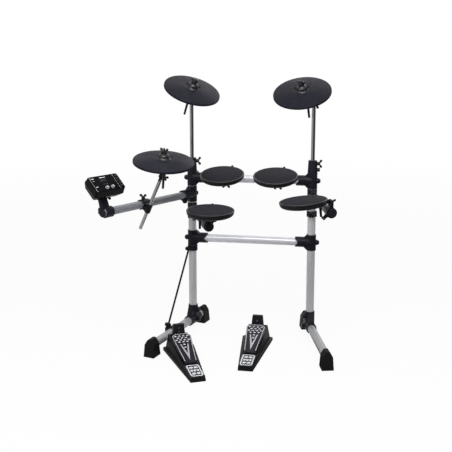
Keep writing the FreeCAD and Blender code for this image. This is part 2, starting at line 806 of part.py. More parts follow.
def cymbal_shell(jack_way):
    """Plastic plate with its round cup and the jack below; the rocking centre is the origin."""
    edge = cymbal_diameter / 2 - cymbal_skin
    inner = cup_radius - cup_wall
    hole = cup_hole_diameter / 2
    outer_hole = math.degrees(math.acos(hole / cup_radius))
    inner_hole = math.degrees(math.acos(hole / inner))
    middle = (skin_inner_diameter / 2 + edge) / 2
    start = skin_inner_diameter / 2
    top_hole = on_circle(cup_radius, outer_hole)
    top_foot = on_circle(cup_radius, cup_flare_angle)
    flare_end = (start, cymbal_top(start))
    flare_mid = (top_foot[0] + (start - top_foot[0]) * cup_flare_share,
                 flare_end[1] + (top_foot[1] - flare_end[1]) * cup_flare_share)
    low_hole = on_circle(inner, inner_hole)
    low_foot = on_circle(inner, 0)
    thick = cymbal_plate
    edges = [line(low_hole, top_hole),
             arc(top_hole, on_circle(cup_radius, (outer_hole + cup_flare_angle) / 2), top_foot),
             arc(top_foot, flare_mid, flare_end),
             arc(flare_end, (middle, cymbal_top(middle)), (edge, cymbal_top(edge))),
             line((edge, cymbal_top(edge)), (edge, cymbal_top(edge) - thick)),
             arc((edge, cymbal_top(edge) - thick), (middle, cymbal_top(middle) - thick),
                 (start, cymbal_top(start) - thick)),
             line((start, cymbal_top(start) - thick), low_foot),
             arc(low_foot, on_circle(inner, inner_hole / 2), low_hole)]
    shell = turned(edges)
    foot_at = jack_way * cymbal_jack_place + up * (cymbal_top(cymbal_jack_place) - cymbal_plate / 2)
    jack_radius = cymbal_jack_diameter / 2
    jack = Part.makeCone(jack_radius * jack_root_share, jack_radius, cymbal_jack_length, foot_at, -up)
    bore = Part.makeCylinder(jack_bore_diameter / 2, jack_bore_depth + overrun,
                             foot_at - up * (cymbal_jack_length + overrun), up)
    return shell.fuse(jack).cut(bore).removeSplitter()


def cymbal_skin_ring():
    """Ribbed rubber skin over the plate, wrapped round its edge."""
    edge = cymbal_diameter / 2
    plate_edge = edge - cymbal_skin
    start = skin_inner_diameter / 2
    middle = (start + plate_edge) / 2
    top = cymbal_skin
    low = cymbal_top(plate_edge) - cymbal_edge_lip
    round_mid = (edge - cymbal_skin * skin_round_share,
                 cymbal_top(plate_edge) + cymbal_skin * (1 - skin_round_share))
    edges = [line((start, cymbal_top(start)), (start, cymbal_top(start) + skin_step)),
             line((start, cymbal_top(start) + skin_step), (start + top, cymbal_top(start + top) + top)),
             arc((start + top, cymbal_top(start + top) + top), (middle, cymbal_top(middle) + top),
                 (plate_edge, cymbal_top(plate_edge) + top)),
             arc((plate_edge, cymbal_top(plate_edge) + top), round_mid, (edge, cymbal_top(plate_edge))),
             line((edge, cymbal_top(plate_edge)), (edge, low)),
             line((edge, low), (plate_edge, low)),
             line((plate_edge, low), (plate_edge, cymbal_top(plate_edge))),
             arc((plate_edge, cymbal_top(plate_edge)), (middle, cymbal_top(middle)),
                 (start, cymbal_top(start)))]
    skin = turned(edges)
    pitch = (plate_edge - start) / (skin_groove_count + 1)
    grooves = []
    for i in range(skin_groove_count):
        radius = start + pitch * (i + 1)
        floor = cymbal_top(radius) + cymbal_skin - groove_depth
        half = groove_width / 2
        grooves.append(turned(lines([(radius - half / 2, floor), (radius + half / 2, floor),
                                     (radius + half, floor + 2 * groove_depth),
                                     (radius - half, floor + 2 * groove_depth)])))
    return skin.cut(grooves).removeSplitter()


def tilter(offset, nut_way):
    """Tilter beside a rod's head: its hinge lies on x and its post stands on z, offset along x.

    nut_way is the way of the wing nut's wings.

    Returns the swing arm with its post, then the domed seat, the felt and the wing nut on it.
    """
    half = tilter_head_width / 2
    radius = tilter_head_diameter / 2
    post = tilter_post_diameter / 2
    centre = Vector(offset, 0, 0)
    swing = rod(radius, centre - Vector(half, 0, 0), centre + Vector(half, 0, 0))
    neck_top = tilter_post_length - cup_radius
    neck = Part.makeCone(tilter_neck_diameter / 2, seat_sleeve_diameter / 2, neck_top, centre)
    top = tilter_post_length + felt_top + wing_height
    stud = Part.makeCylinder(post, top, centre)
    collar = Part.makeCylinder(seat_sleeve_diameter / 2, tilter_post_length + seat_bottom - neck_top,
                               centre + up * neck_top)
    arm = swing.fuse([neck, stud, collar])
    arm = arm.cut(rod(tilter_pin_diameter / 2 + running_fit, centre - Vector(half + overrun, 0, 0),
                      centre + Vector(half + overrun, 0, 0))).removeSplitter()
    hub = Placement(centre + up * tilter_post_length, Rotation())
    seat_radius = cup_radius - cup_wall - free_gap
    bore = post + running_fit
    seat_top = math.sqrt(seat_radius ** 2 - (post * 2) ** 2)
    low_r = math.sqrt(seat_radius ** 2 - seat_bottom ** 2)
    seat_mid = on_circle(seat_radius, math.degrees(math.atan2(seat_top, post * 2)
                                                   + math.atan2(seat_bottom, low_r)) / 2)
    seat = turned([line((bore, seat_bottom), (low_r, seat_bottom)),
                   arc((low_r, seat_bottom), seat_mid, (post * 2, seat_top)),
                   line((post * 2, seat_top), (bore, seat_top)), line((bore, seat_top), (bore, seat_bottom))])
    felt_in = cup_radius + free_gap
    felt_r = felt_diameter / 2
    felt_foot = math.sqrt(felt_in ** 2 - felt_r ** 2)
    felt_peak = math.sqrt(felt_in ** 2 - bore ** 2)
    felt_turn = (math.atan2(felt_foot, felt_r) + math.atan2(felt_peak, bore)) / 2
    felt_mid = on_circle(felt_in, math.degrees(felt_turn))
    felt = turned([arc((bore, felt_peak), felt_mid, (felt_r, felt_foot)),
                   line((felt_r, felt_foot), (felt_r, felt_top)),
                   line((felt_r, felt_top), (bore, felt_top)), line((bore, felt_top), (bore, felt_peak))])
    nut = moved(wing_head(bore), frame_at(up * felt_top, nut_way, up))
    return [arm] + moved_all([seat, felt, nut], hub)


def rod_with_head(diameter, length, offset):
    """Cymbal rod on z that ends in a cross head on x at the origin.

    Returns the rod, its hinge bolt, the wing bolt that locks the head from its side, and the spacer
    where the tilter stands off.
    """
    half = tilter_head_width / 2
    radius = tilter_head_diameter / 2
    sign = 1 if offset > 0 else -1
    head = rod(radius, Vector(-half, 0, 0), Vector(half, 0, 0))
    shoulder = radius + tilter_gap
    neck = Part.makeCylinder(half * rod_neck_share, shoulder + overrun, Vector(0, 0, 0), -up)
    shaft = Part.makeCylinder(diameter / 2, length - shoulder, Vector(0, 0, -shoulder), -up)
    shaft = shaft.makeChamfer(diameter * rod_chamfer_share, [min(shaft.Edges, key=lambda e: e.BoundBox.ZMax)])
    hollow = Part.makeCylinder(diameter / 2 - cymbal_rod_wall, length,
                               Vector(0, 0, -shoulder - 2 * cymbal_rod_wall), -up)
    pin = tilter_pin_diameter / 2
    cuts = [rod(pin + running_fit, Vector(-half - overrun, 0, 0), Vector(half + overrun, 0, 0)),
            rod(bolt_radius, Vector(0, 0, 0), Vector(0, radius + overrun, 0))]
    body = head.fuse([neck, shaft.cut(hollow)]).cut(cuts).removeSplitter()
    reach = abs(offset) + half * 2 + wing_hub_height / 2
    bolt = moved(wing_bolt(pin, reach), frame_at(Vector(-sign * half, 0, 0), up, Vector(-sign, 0, 0)))
    lock = moved(wing_bolt(bolt_radius - tube_fit, radius - pin - tube_fit),
                 frame_at(Vector(0, radius + tube_fit, 0), to_right, Vector(0, 1, 0)))
    pieces = [body, bolt, lock]
    spacer = abs(offset) - 2 * half - 2 * tilter_gap
    if spacer > tilter_gap:
        start = Vector(sign * half, 0, 0)
        end = start + Vector(sign * spacer, 0, 0)
        pieces.append(tube(radius * spacer_share, pin + running_fit, start, end))
    return pieces


def hihat_clamp():
    """Clamp that holds the hi-hat rod beside the module arm; the arm runs along x and the rod along z."""
    half = hihat_clamp_length / 2
    body, cuts, wing = locked_ring(arm_radius, -half, half, hihat_clamp_lock_angle, Vector(0, 1, 0))
    boss_half = hihat_clamp_boss_length / 2
    at = Vector(0, hihat_rod_offset, 0)
    boss = rod(hihat_clamp_boss_diameter / 2, at - up * boss_half, at + up * boss_half)
    bridge = block((-hihat_clamp_boss_diameter / 2, hihat_clamp_boss_diameter / 2), (0, hihat_rod_offset),
                   (-boss_half + tee_wall, boss_half - tee_wall))
    rod_bore = hihat_rod_diameter / 2 + running_fit
    lock_reach = hihat_clamp_boss_diameter / 2 + tee_wall
    lock_foot = at + Vector(lock_reach, 0, 0)
    lock_boss = rod(lock_boss_diameter / 2, at, lock_foot)
    holes = [rod(rod_bore, at - up * hihat_clamp_boss_length, at + up * hihat_clamp_boss_length),
             rod(bolt_bore, at, lock_foot + Vector(overrun, 0, 0))]
    clamp = body.fuse([boss, bridge, lock_boss]).cut(cuts + holes).removeSplitter()
    lock = moved(key_bolt(lock_reach - rod_bore - free_gap),
                 frame_at(lock_foot, up, Vector(1, 0, 0)))
    return clamp, [lock, wing]


def end_cap():
    """Round cap on a tube's end, its tube on the negative z side."""
    cap = Part.makeCylinder(arm_radius + cap_rim, cap_thickness)
    cap = cap.makeFillet(cap_thickness * cap_round_share, [max(cap.Edges, key=lambda e: e.BoundBox.ZMin)])
    plug = tube(arm_radius - tube_wall - tube_fit, arm_radius - 2 * tube_wall, up * -cap_plug_depth,
                Vector(0, 0, tube_wall / 2))
    return cap.fuse(plug).removeSplitter()


def rounded_plate(x, y, corner, z):
    """Plate between pairs of limits along the three axes, with rounded upright corners."""
    plate = block(x, y, z)
    return plate.makeFillet(corner, [e for e in plate.Edges if e.BoundBox.ZLength > (z[1] - z[0]) / 2])


def inset_plate(inset, bottom, top):
    """Rounded plate as large as the module's panel less an inset all round."""
    half_width = module_width / 2 - inset
    half_depth = module_depth / 2 - inset
    return rounded_plate((-half_width, half_width), (-half_depth, half_depth), module_corner, (bottom, top))


def button_places():
    """Centres of the buttons on the module's panel."""
    first = -(button_count - 1) * button_pitch / 2
    return [(button_across, first + i * button_pitch) for i in range(button_count)]


def knob_places():
    """Centres of the two knobs on the module's panel."""
    return [(knob_across, knob_back), (knob_across + knob_spacing, knob_back)]


def module_case():
    """Hollow lower case with tapered flanks; its panel's top centre is the origin."""
    top = -module_panel_thickness
    half_width = module_width / 2
    half_depth = module_depth / 2
    wires = []
    for level, side, front, back in ((top, 0, 0, 0),
                                     (-module_thickness * module_waist_share, 0, module_front_bulge, 0),
                                     (-module_thickness, module_side_taper, 0, module_back_taper)):
        plate = rounded_plate((-half_width + side, half_width - side),
                              (-half_depth - front, half_depth - back),
                              module_corner, (level, level + module_wall))
        wires.append(min(plate.Faces, key=lambda f: f.CenterOfMass.z).OuterWire)
    case = Part.makeLoft(wires, True, True)
    inner_width = half_width - module_wall - module_side_taper
    hollow = rounded_plate((-inner_width, inner_width),
                           (-half_depth + module_wall, half_depth - module_wall - module_back_taper),
                           module_corner, (-module_thickness + module_wall, top + overrun))
    lip = inset_plate(module_wall, top - module_wall, top + overrun)
    hinge = (-module_hinge_forward, -module_thickness - module_hinge_drop)
    inner = bracket_tongue_width / 2 + free_gap
    lugs = []
    for sign in (-1, 1):
        near = sign * inner
        far = sign * (inner + module_lug_thickness)
        plate = front_prism([(hinge[0] - module_lug_round, -module_thickness + module_wall),
                             (hinge[0] - module_lug_round, hinge[1]), (hinge[0] + module_lug_round, hinge[1]),
                             (hinge[0] + module_lug_round * 2, -module_thickness + module_wall)],
                            module_lug_thickness / 2)
        plate.translate(Vector((near + far) / 2, 0, 0))
        lugs.append(plate)
        lugs.append(rod(module_lug_round, Vector(near, hinge[0], hinge[1]), Vector(far, hinge[0], hinge[1])))
    bore = rod(module_hinge_diameter / 2 + running_fit, Vector(-module_width, hinge[0], hinge[1]),
               Vector(module_width, hinge[0], hinge[1]))
    return case.cut([hollow, lip]).fuse(lugs).cut(bore).removeSplitter()


def module_panel():
    """Top panel with the display's recess, two strip grooves, and holes for knobs and buttons."""
    top_plate = inset_plate(0, -module_panel_thickness, 0)
    rim = [e for e in top_plate.Edges if e.BoundBox.ZMin > -module_panel_thickness / 2]
    top_plate = top_plate.makeChamfer(module_panel_thickness * panel_chamfer_share, rim)
    skirt = inset_plate(module_wall + tube_fit, -2 * module_panel_thickness + free_gap,
                        -module_panel_thickness)
    cuts = [block((display_across - display_width / 2, display_across + display_width / 2),
                  (display_back - display_depth / 2, display_back + display_depth / 2),
                  (-display_thickness, overrun))]
    for at in (-module_width / 2 + left_strip_width, module_width / 2 - right_strip_width):
        cuts.append(block((at - strip_groove / 2, at + strip_groove / 2), (-module_depth, module_depth),
                          (-strip_groove / 2, overrun)))
    deep = 2 * module_panel_thickness + overrun
    for x, y in knob_places():
        cuts.append(Part.makeCylinder(knob_shaft_diameter / 2 + running_fit, deep + overrun,
                                      Vector(x, y, -deep)))
    half_width = button_width / 2 + free_gap
    half_depth = button_depth / 2 + free_gap
    for x, y in button_places():
        cuts.append(block((x - half_width, x + half_width), (y - half_depth, y + half_depth),
                          (-deep, overrun)))
    return top_plate.fuse(skirt).cut(cuts).removeSplitter()


def module_display():
    """Display window that lies in the panel's recess."""
    half = display_width / 2 - tube_fit
    depth = display_depth / 2 - tube_fit
    return block((display_across - half, display_across + half), (display_back - depth, display_back + depth),
                 (-display_thickness, 0))


def knob():
    """Turning knob with a skirt, flutes and its shaft; the panel's face is at z 0."""
    radius = knob_diameter / 2
    body = Part.makeCone(radius * knob_base_share, radius * knob_top_share, knob_height - free_gap,
                         Vector(0, 0, free_gap))
    body = body.makeFillet(knob_skirt / 2, [max(body.Edges, key=lambda e: e.BoundBox.ZMin)])
    skirt = Part.makeCylinder(radius, knob_skirt, Vector(0, 0, free_gap))
    shaft = Part.makeCylinder(knob_shaft_diameter / 2, knob_shaft_depth + free_gap + overrun,
                              Vector(0, 0, -knob_shaft_depth))
    flutes = []
    for i in range(knob_flute_count):
        x, y = on_circle(radius * knob_flute_place_share, full_turn_angle / knob_flute_count * i)
        flutes.append(Part.makeCylinder(radius * knob_flute_share, knob_height,
                                        Vector(x, y, free_gap + knob_skirt)))
    half_mark = radius * knob_mark_share
    mark = block((-half_mark, half_mark), (0, radius), (knob_height - half_mark, knob_height + overrun))
    return body.cut(flutes).fuse([skirt, shaft]).cut(mark).removeSplitter()


def button():
    """Push button cap that stands out of the panel; the panel's face is at z 0."""
    cap = block((-button_width / 2, button_width / 2), (-button_depth / 2, button_depth / 2),
                (button_rise - button_height, button_rise))
    rim = [e for e in cap.Edges if e.BoundBox.ZMin > button_rise - button_travel / 2]
    return cap.makeFillet(button_rise * button_round_share, rim)


def module_bracket(hinge, hinge_way, wing_way):
    """Bracket on the module arm, which runs along x; its tongue rises to the given hinge.

    wing_way is the way of the hinge bolt's wings. Returns the bracket, its bolts and the hinge bolt.
    """
    half = bracket_ring_length / 2
    body, cuts = split_ring(arm_radius, bracket_ring_length, bracket_wall, -1, bracket_ear_reach,
                            bracket_ear_height)
    half_tongue = hinge_way * (bracket_tongue_width / 2)
    knuckle = rod(bracket_tongue_round, hinge - half_tongue, hinge + half_tongue)
    ahead = Vector(hinge_way.y, -hinge_way.x, 0)
    foot_half = bracket_tongue_width / 2
    foot_depth = arm_radius * bracket_foot_share
    root = Vector(hinge.dot(hinge_way) / hinge_way.x, 0, 0)
    corners = ((-1, -1), (1, -1), (1, 1), (-1, 1))
    lower = [root + hinge_way * (a * foot_half) + ahead * (b * foot_depth) for a, b in corners]
    neck_depth = bracket_tongue_round * bracket_neck_share
    upper = [hinge + hinge_way * (a * foot_half) + ahead * (b * neck_depth) for a, b in corners]
    neck = Part.makeLoft([Part.makePolygon(p + [p[0]]) for p in (lower, upper)], True, True)
    bore = rod(module_hinge_diameter / 2 + running_fit, hinge - half_tongue * 2, hinge + half_tongue * 2)
    bolts = []
    holes = []
    for sign in (-1, 1):
        at = Vector(sign * half / 2, -bracket_bolt_reach, 0)
        holes.append(rod(bolt_bore, at - up * bracket_ear_height, at + up * bracket_ear_height))
        bolts.append(moved(key_bolt(bracket_ear_height),
                           Placement(at + up * bracket_ear_height / 2, Rotation())))
    along = Vector(bracket_ring_length, 0, 0)
    passage = rod(arm_radius, -along, along)
    bracket = body.fuse([knuckle, neck]).cut(cuts + holes + [bore, passage]).removeSplitter()
    pin_reach = bracket_tongue_width / 2 + free_gap + module_lug_thickness
    pin = moved(wing_bolt(module_hinge_diameter / 2, 2 * pin_reach + wing_hub_height / 2),
                frame_at(hinge + hinge_way * pin_reach, wing_way, hinge_way))
    return bracket, bolts, pin


def flared(near, far, bottom):
    """Solid between two upright trapezoids, each given by its place along y, half widths and height."""
    wires = []
    for y, (low, high), top in (near, far):
        corners = [(-low, bottom), (low, bottom), (high, top), (-high, top)]
        wires.append(Part.makePolygon([Vector(x, y, z) for x, z in corners + corners[:1]]))
    return Part.makeLoft(wires, True, True)


def pedal_base():
    """Pedal base: a floor flange that carries a flared wedge with an open bed, heel rest and sensor tower.

    The heel's end lies on the x axis and the pedal runs along y.
    """
    near = pedal_flange_heel_width / 2
    far = pedal_flange_toe_width / 2
    flange = plan_prism([(-near, 0), (near, 0), (far, pedal_length), (-far, pedal_length)],
                        0, pedal_flange_height)
    corners = [e for e in flange.Edges if e.BoundBox.ZLength > pedal_flange_height / 2
               and e.BoundBox.YMin > pedal_length / 2]
    flange = flange.makeFillet(pedal_flange_round, corners)
    root = pedal_flange_height / 2
    share = pedal_heel_length / pedal_length
    heel = (pedal_heel_width / 2, pedal_heel_top_width / 2)
    toe = (pedal_toe_width / 2, pedal_toe_top_width / 2)
    waist = tuple(a + (b - a) * share for a, b in zip(heel, toe))
    bed = pedal_heel_length
    heel_end = pedal_heel_height + pedal_heel_slope
    heel_block = flared((0, heel, pedal_heel_height), (bed, waist, heel_end), root)
    bed_block = flared((bed, waist, pedal_bed_start), (pedal_length, toe, pedal_toe_height), root)
    inner_waist = waist[1] - pedal_wall
    inner_toe = toe[1] - pedal_wall
    well_start = bed + pedal_well_gap
    well_end = pedal_length - pedal_wall
    well = plan_prism([(-inner_waist, well_start), (inner_waist, well_start), (inner_toe, well_end),
                       (-inner_toe, well_end)], pedal_floor, pedal_toe_height + overrun)
    body = flange.fuse([heel_block, bed_block]).cut(well)
    tower_wires = []
    for level, half, shift in ((root, tower_width / 2, 0), (pedal_toe_height, tower_width / 2, 0),
                               (tower_height, tower_top_width / 2, tower_lean)):
        front = well_end - tower_depth + shift
        corners = [(-half, front), (half, front), (half, well_end), (-half, well_end)]
        tower_wires.append(Part.makePolygon([Vector(x, y, level) for x, y in corners + corners[:1]]))
    tower = Part.makeLoft(tower_wires, True, True)
    knuckle = pedal_knuckle_diameter / 2
    axis = Vector(0, pedal_hinge_place, pedal_hinge_height)
    ear_in = board_waist_width / 2 - pedal_ear_width
    ears = []
    for side in (-1, 1):
        limits = sorted((side * ear_in, side * (ear_in + pedal_ear_width)))
        ears.append(rod(knuckle, axis + to_right * limits[0], axis + to_right * limits[1]))
        ears.append(block(limits, (axis.y - knuckle, axis.y + knuckle), (root, axis.z)))
    bore = rod(pedal_pin_diameter / 2 + running_fit, axis - to_right * pedal_heel_width,
               axis + to_right * pedal_heel_width)
    return body.fuse([tower] + ears).cut(bore).removeSplitter()


def board_frame():
    """Placement of the footboard on its hinge, sloped up towards the toe."""
    axis = Vector(0, pedal_hinge_place, pedal_hinge_height)
    return Placement(axis, Rotation(Vector(1, 0, 0), board_slope_angle))


def footboard():
    """Tapered footboard with folded side lips and a hinge barrel; its hinge is the x axis."""
    waist = board_waist_width / 2
    toe = board_toe_width / 2
    knuckle = pedal_knuckle_diameter / 2
    top = knuckle
    bottom = top - board_thickness
    start = -knuckle
    slant_start = pedal_knuckle_diameter + board_lip_wall
    outline = [(-waist, start), (waist, start), (toe, board_length - board_corner),
               (toe - board_corner, board_length), (-toe + board_corner, board_length),
               (-toe, board_length - board_corner)]
    plate = plan_prism(outline, bottom, top)
    lip_solid = plan_prism(outline, bottom - board_lip, bottom)
    inner = [(-waist + board_lip_wall, start - overrun), (waist - board_lip_wall, start - overrun),
             (toe - board_lip_wall, board_length - board_corner),
             (toe - board_corner - board_lip_wall / 2, board_length - board_lip_wall),
             (-toe + board_corner + board_lip_wall / 2, board_length - board_lip_wall),
             (-toe + board_lip_wall, board_length - board_corner)]
    hollow = plan_prism(inner, bottom - board_lip - overrun, bottom)
    slant = front_prism([(start - overrun, bottom - board_lip - overrun), (start - overrun, bottom),
                         (slant_start, bottom), (board_length / 2, bottom - board_lip),
                         (board_length / 2, bottom - board_lip - overrun)], toe + overrun)
    lips = lip_solid.cut([hollow, slant])
    barrel_half = waist - pedal_ear_width - free_gap
    barrel = rod(knuckle, Vector(-barrel_half, 0, 0), Vector(barrel_half, 0, 0))
    ear_room = []
    for s in (-1, 1):
        ear_room.append(block(tuple(sorted((s * barrel_half, s * (waist + overrun)))),
                              (start - overrun, knuckle + free_gap * 2), (-knuckle - overrun, top + overrun)))
    bore = rod(pedal_pin_diameter / 2 + running_fit, Vector(-waist, 0, 0), Vector(waist, 0, 0))
    return plate.fuse(lips).cut(ear_room).fuse(barrel).cut(bore).removeSplitter()


def pedal_pin():
    """Hinge pin of a footboard, held in the base's two ears."""
    half = board_waist_width / 2 - free_gap
    at = Vector(0, pedal_hinge_place, pedal_hinge_height)
    return rod(pedal_pin_diameter / 2, at - Vector(half, 0, 0), at + Vector(half, 0, 0))


def pedal_sensor():
    """Rubber-topped striker under a footboard, standing in the base's well."""
    slope = math.radians(board_slope_angle - board_travel_angle)
    reach = sensor_place * math.cos(slope)
    under = pedal_knuckle_diameter / 2 - board_thickness
    level = pedal_hinge_height + sensor_place * math.sin(slope) + under * math.cos(slope) - free_gap * 2
    rise = math.tan(slope) * sensor_length / 2
    y = pedal_hinge_place + reach
    half = sensor_length / 2
    return front_prism([(y - half, pedal_floor), (y + half, pedal_floor), (y + half, level + rise - free_gap),
                        (y - half, level - rise - free_gap)], sensor_width / 2)


def brace_parts():
    """Brace rod with its eyes, the collar on the left upright, the ring on the left leg, and two bolts."""
    post = Vector(-upright_spacing / 2, 0, 0)
    along = direction(-leg_splay_angle)
    aside = Vector(along.y, -along.x, 0)
    if aside.x > 0:
        aside = aside * -1
    low = post + along * brace_leg_place + aside * brace_lower_side
    low = low + up * (leg_axis_height + brace_lower_rise)
    collar_top = lower_bar_height - tee_length / 2 - brace_collar_gap
    level = collar_top - brace_collar_height / 2
    plan = Vector(low.x - post.x, low.y - post.y, 0).normalize()
    high = post + plan * brace_upper_reach + up * level
    bolt_way = Vector(plan.y, -plan.x, 0)
    eye_radius = brace_eye_diameter / 2
    pieces = [rod(brace_rod_diameter / 2, low, high)]
    bolts = []
    half_eye = bolt_way * (brace_eye_width / 2)
    for eye in (high, low):
        pieces.append(rod(eye_radius, eye - half_eye, eye + half_eye))
    body = pieces[0].fuse(pieces[1:])
    body = body.cut([rod(bolt_bore, e - bolt_way * brace_eye_width, e + bolt_way * brace_eye_width)
                     for e in (high, low)]).removeSplitter()
    gap = brace_eye_width / 2 + free_gap / 2
    outer = gap + collar_lug_thickness
    collar_bottom = collar_top - brace_collar_height
    collar = rod(tube_radius + collar_wall, post + up * collar_bottom, post + up * collar_top)
    leg_foot = post + along * brace_leg_place + up * leg_axis_height
    half_ring = brace_ring_length / 2
    ring = rod(tube_radius + brace_ring_wall, leg_foot - along * half_ring, leg_foot + along * half_ring)
    leg_place = frame_at(leg_foot, along, up)
    side = 1 if leg_place.inverse().Rotation.multVec(aside).y > 0 else -1
    shelf_top = brace_lower_rise - bolt_head_diameter / 2 - free_gap
    shelf = block((-half_ring, half_ring), tuple(sorted((0.0, side * (brace_lower_side + outer)))),
                  (-tube_radius / 2, shelf_top))
    ring = ring.fuse(moved(shelf, leg_place))
    clamps = []
    for base, hub, eye in ((collar, post + up * level, high), (ring, leg_foot, low)):
        for s in (-1, 1):
            a, b = sorted((s * gap, s * outer))
            near = eye + bolt_way * a
            far = eye + bolt_way * b
            ear = rod(eye_radius, near, far)
            reach = hub - eye
            reach = reach - bolt_way * reach.dot(bolt_way)
            across = bolt_way.cross(reach).normalize() * eye_radius
            foot = reach * brace_arm_share
            arm = polygon_face([near + across, near - across, near - across + foot, near + across + foot])
            base = base.fuse([ear, arm.extrude(far - near)])
        clamps.append(base)
        bolts.append(moved(key_bolt(2 * outer), frame_at(eye + bolt_way * outer, up, bolt_way)))
    cut_upright = rod(tube_bore, post, post + up * upper_bar_height)
    cut_leg = rod(tube_bore, leg_foot - along * brace_leg_place, leg_foot + along * brace_leg_place)
    bolt_reach = bolt_way * (outer + overrun)
    bolt_cuts = [rod(bolt_bore, e - bolt_reach, e + bolt_reach) for e in (high, low)]
    clamps = [clamps[0].cut([cut_upright, bolt_cuts[0]]).removeSplitter(),
              clamps[1].cut([cut_leg, bolt_cuts[1]]).removeSplitter()]
    return body, clamps, bolts


def add(name, *shapes):
    """Puts solids into a node."""
    nodes.setdefault(name, []).extend(shapes)


def build_frame():
    """Uprights, crossbars, tees, legs, feet and brace."""
    for name, foot_point in (("left_upright_tube", left_foot), ("right_upright_tube", right_foot)):
        add(name, tube(tube_radius, tube_radius - tube_wall, foot_point + up * upright_foot_height,
                       foot_point + up * upright_top_height))
    for name, level in (("upper_crossbar_tube", upper_bar_height), ("lower_crossbar_tube", lower_bar_height)):
        add(name, tube(tube_radius, tube_radius - tube_wall, left_foot + to_right * bar_seat + up * level,
                       right_foot - to_right * bar_seat + up * level))
    for foot_point, way in ((left_foot, to_right), (right_foot, to_right * -1)):
        tee, bolts, wing = socket_tee(way.x * to_right, Vector(0, way.x, 0), way.x < 0)
        place = frame_at(foot_point + up * upper_bar_height, way, up)
        add("upper_tees", moved(tee, place))
        add("clamp_bolts", *moved_all(bolts, place))
        add("rod_wing_bolts", moved(wing, place))
        tee, bolts = plain_tee(Vector(0, way.x, 0), tube_bore)
        place = frame_at(foot_point + up * lower_bar_height, way, up)
        add("lower_tees", moved(tee, place))
        add("clamp_bolts", *moved_all(bolts, place))
    for foot_point, splay in ((left_foot, -leg_splay_angle), (right_foot, leg_splay_angle)):
        way = direction(splay)
        place = frame_at(foot_point, way, up)
        tee, bolts = leg_tee(1 if splay < 0 else -1)
        add("leg_tees", moved(tee, place))
        add("clamp_bolts", *moved_all(bolts, place))
        inside = foot_length - foot_socket_depth
        front = Vector(leg_front_reach - inside, 0, leg_axis_height)
        rear = Vector(-leg_rear_reach + inside, 0, leg_axis_height)
        add("leg_tubes", moved(tube(tube_radius, tube_radius - tube_wall, rear, front), place))
        front_end = Placement(Vector(leg_front_reach, 0, 0), Rotation())
        rear_end = Placement(Vector(-leg_rear_reach, 0, 0), Rotation(up, half_turn_angle))
        add("leg_feet", moved(foot(), place.multiply(front_end)), moved(foot(), place.multiply(rear_end)))
    body, clamps, bolts = brace_parts()
    add("brace_rod", body)
    add("brace_clamps", *clamps)
    add("clamp_bolts", *bolts)
    collar, cuts = split_ring(tube_radius, stop_collar_height, collar_wall, 1, bracket_ear_reach + tube_wall,
                              bracket_ear_height)
    bolt_at = Vector(0, bracket_bolt_reach + tube_wall, 0)
    hole = rod(bolt_bore, bolt_at - up * bracket_ear_height, bolt_at + up * bracket_ear_height)
    place = frame_at(right_foot + up * (stop_collar_bottom + stop_collar_height / 2), up, to_right)
    add("stop_collar", moved(collar.cut(cuts + [hole]).removeSplitter(), place))
    add("clamp_bolts", moved(key_bolt(bracket_ear_height),
                             place.multiply(Placement(bolt_at + up * bracket_ear_height / 2, Rotation()))))


def build_arm(tee_node, tube_node, foot_point, level, turn, length):
    """Arm tube in its own tee on an upright, with an end cap; returns the arm's root and direction."""
    way = direction(turn)
    root = foot_point + up * level
    tee, bolts = plain_tee(-up, arm_bore)
    place = frame_at(root, way, up)
    add(tee_node, moved(tee, place))
    add("clamp_bolts", *moved_all(bolts, place))
    add(tube_node, tube(arm_radius, arm_radius - tube_wall, root + way * bar_seat, root + way * length))
    add("tube_end_caps", moved(end_cap(), frame_at(root + way * length, up, way)))
    return root, way


def build_pad(name, tube_point, tube_way, clamp_pieces, riser, turn, tilt, jack):
    """One pad on its clamp; clamp_pieces are the clamp, its wing bolt and its hinge pin."""
    place = frame_at(tube_point, tube_way, up)
    clamp, bolt, pin = clamp_pieces
    add("pad_clamps", moved(clamp, place))
    add("pad_wing_bolts", moved(bolt, place), moved(pin, place))
    hinge = tube_point + up * (pad_hinge_height + riser)
    pad_place = pad_frame(hinge, turn, tilt)
    add(name + "_pad_shell", moved(pad_shell(*jack), pad_place))
    add(name + "_pad_head", moved(pad_head(), pad_place))


def build_cymbal(name, pivot, rod_way, diameter, length, offset, tilt, turn, jack_turn, nut_turn):
    """One cymbal on its tilter and rod; pivot is the hinge on the rod's head."""
    normal = tilted(tilt, turn)
    hinge_way = rod_way.cross(normal).normalize()
    head_place = frame_at(pivot, hinge_way, rod_way)
    add(name + "_rod", *moved_all(rod_with_head(diameter, length, offset), head_place))
    swing = frame_at(pivot, hinge_way, normal)
    own = swing.inverse().Rotation
    add(name + "_tilter", *moved_all(tilter(offset, own.multVec(direction(nut_turn))), swing))
    centre = swing.multVec(Vector(offset, 0, tilter_post_length))
    place = frame_at(centre, hinge_way, normal)
    jack_way = own.multVec(direction(jack_turn))
    jack_way.z = 0
    add(name + "_cymbal_shell", moved(cymbal_shell(jack_way.normalize()), place))
    add(name + "_cymbal_skin", moved(cymbal_skin_ring(), place))


def module_frame():
    """Placement of the module: its own x runs along its width and its own z out of the panel."""
    front = direction(module_turn_angle)
    width_way = Vector(-front.y, front.x, 0)
    normal = tilted(module_tilt_angle, module_turn_angle)
    place = frame_at(Vector(0, 0, 0), width_way, normal)
    arm_way = direction(module_arm_angle)
    aside = Vector(arm_way.y, -arm_way.x, 0)
    hinge = left_foot + up * (module_arm_height + module_hinge_rise) + arm_way * module_hinge_place
    hinge = hinge + aside * module_hinge_aside
    held = place.multVec(Vector(0, -module_hinge_forward, -module_thickness - module_hinge_drop))
    place.Base = hinge - held
    return place, hinge


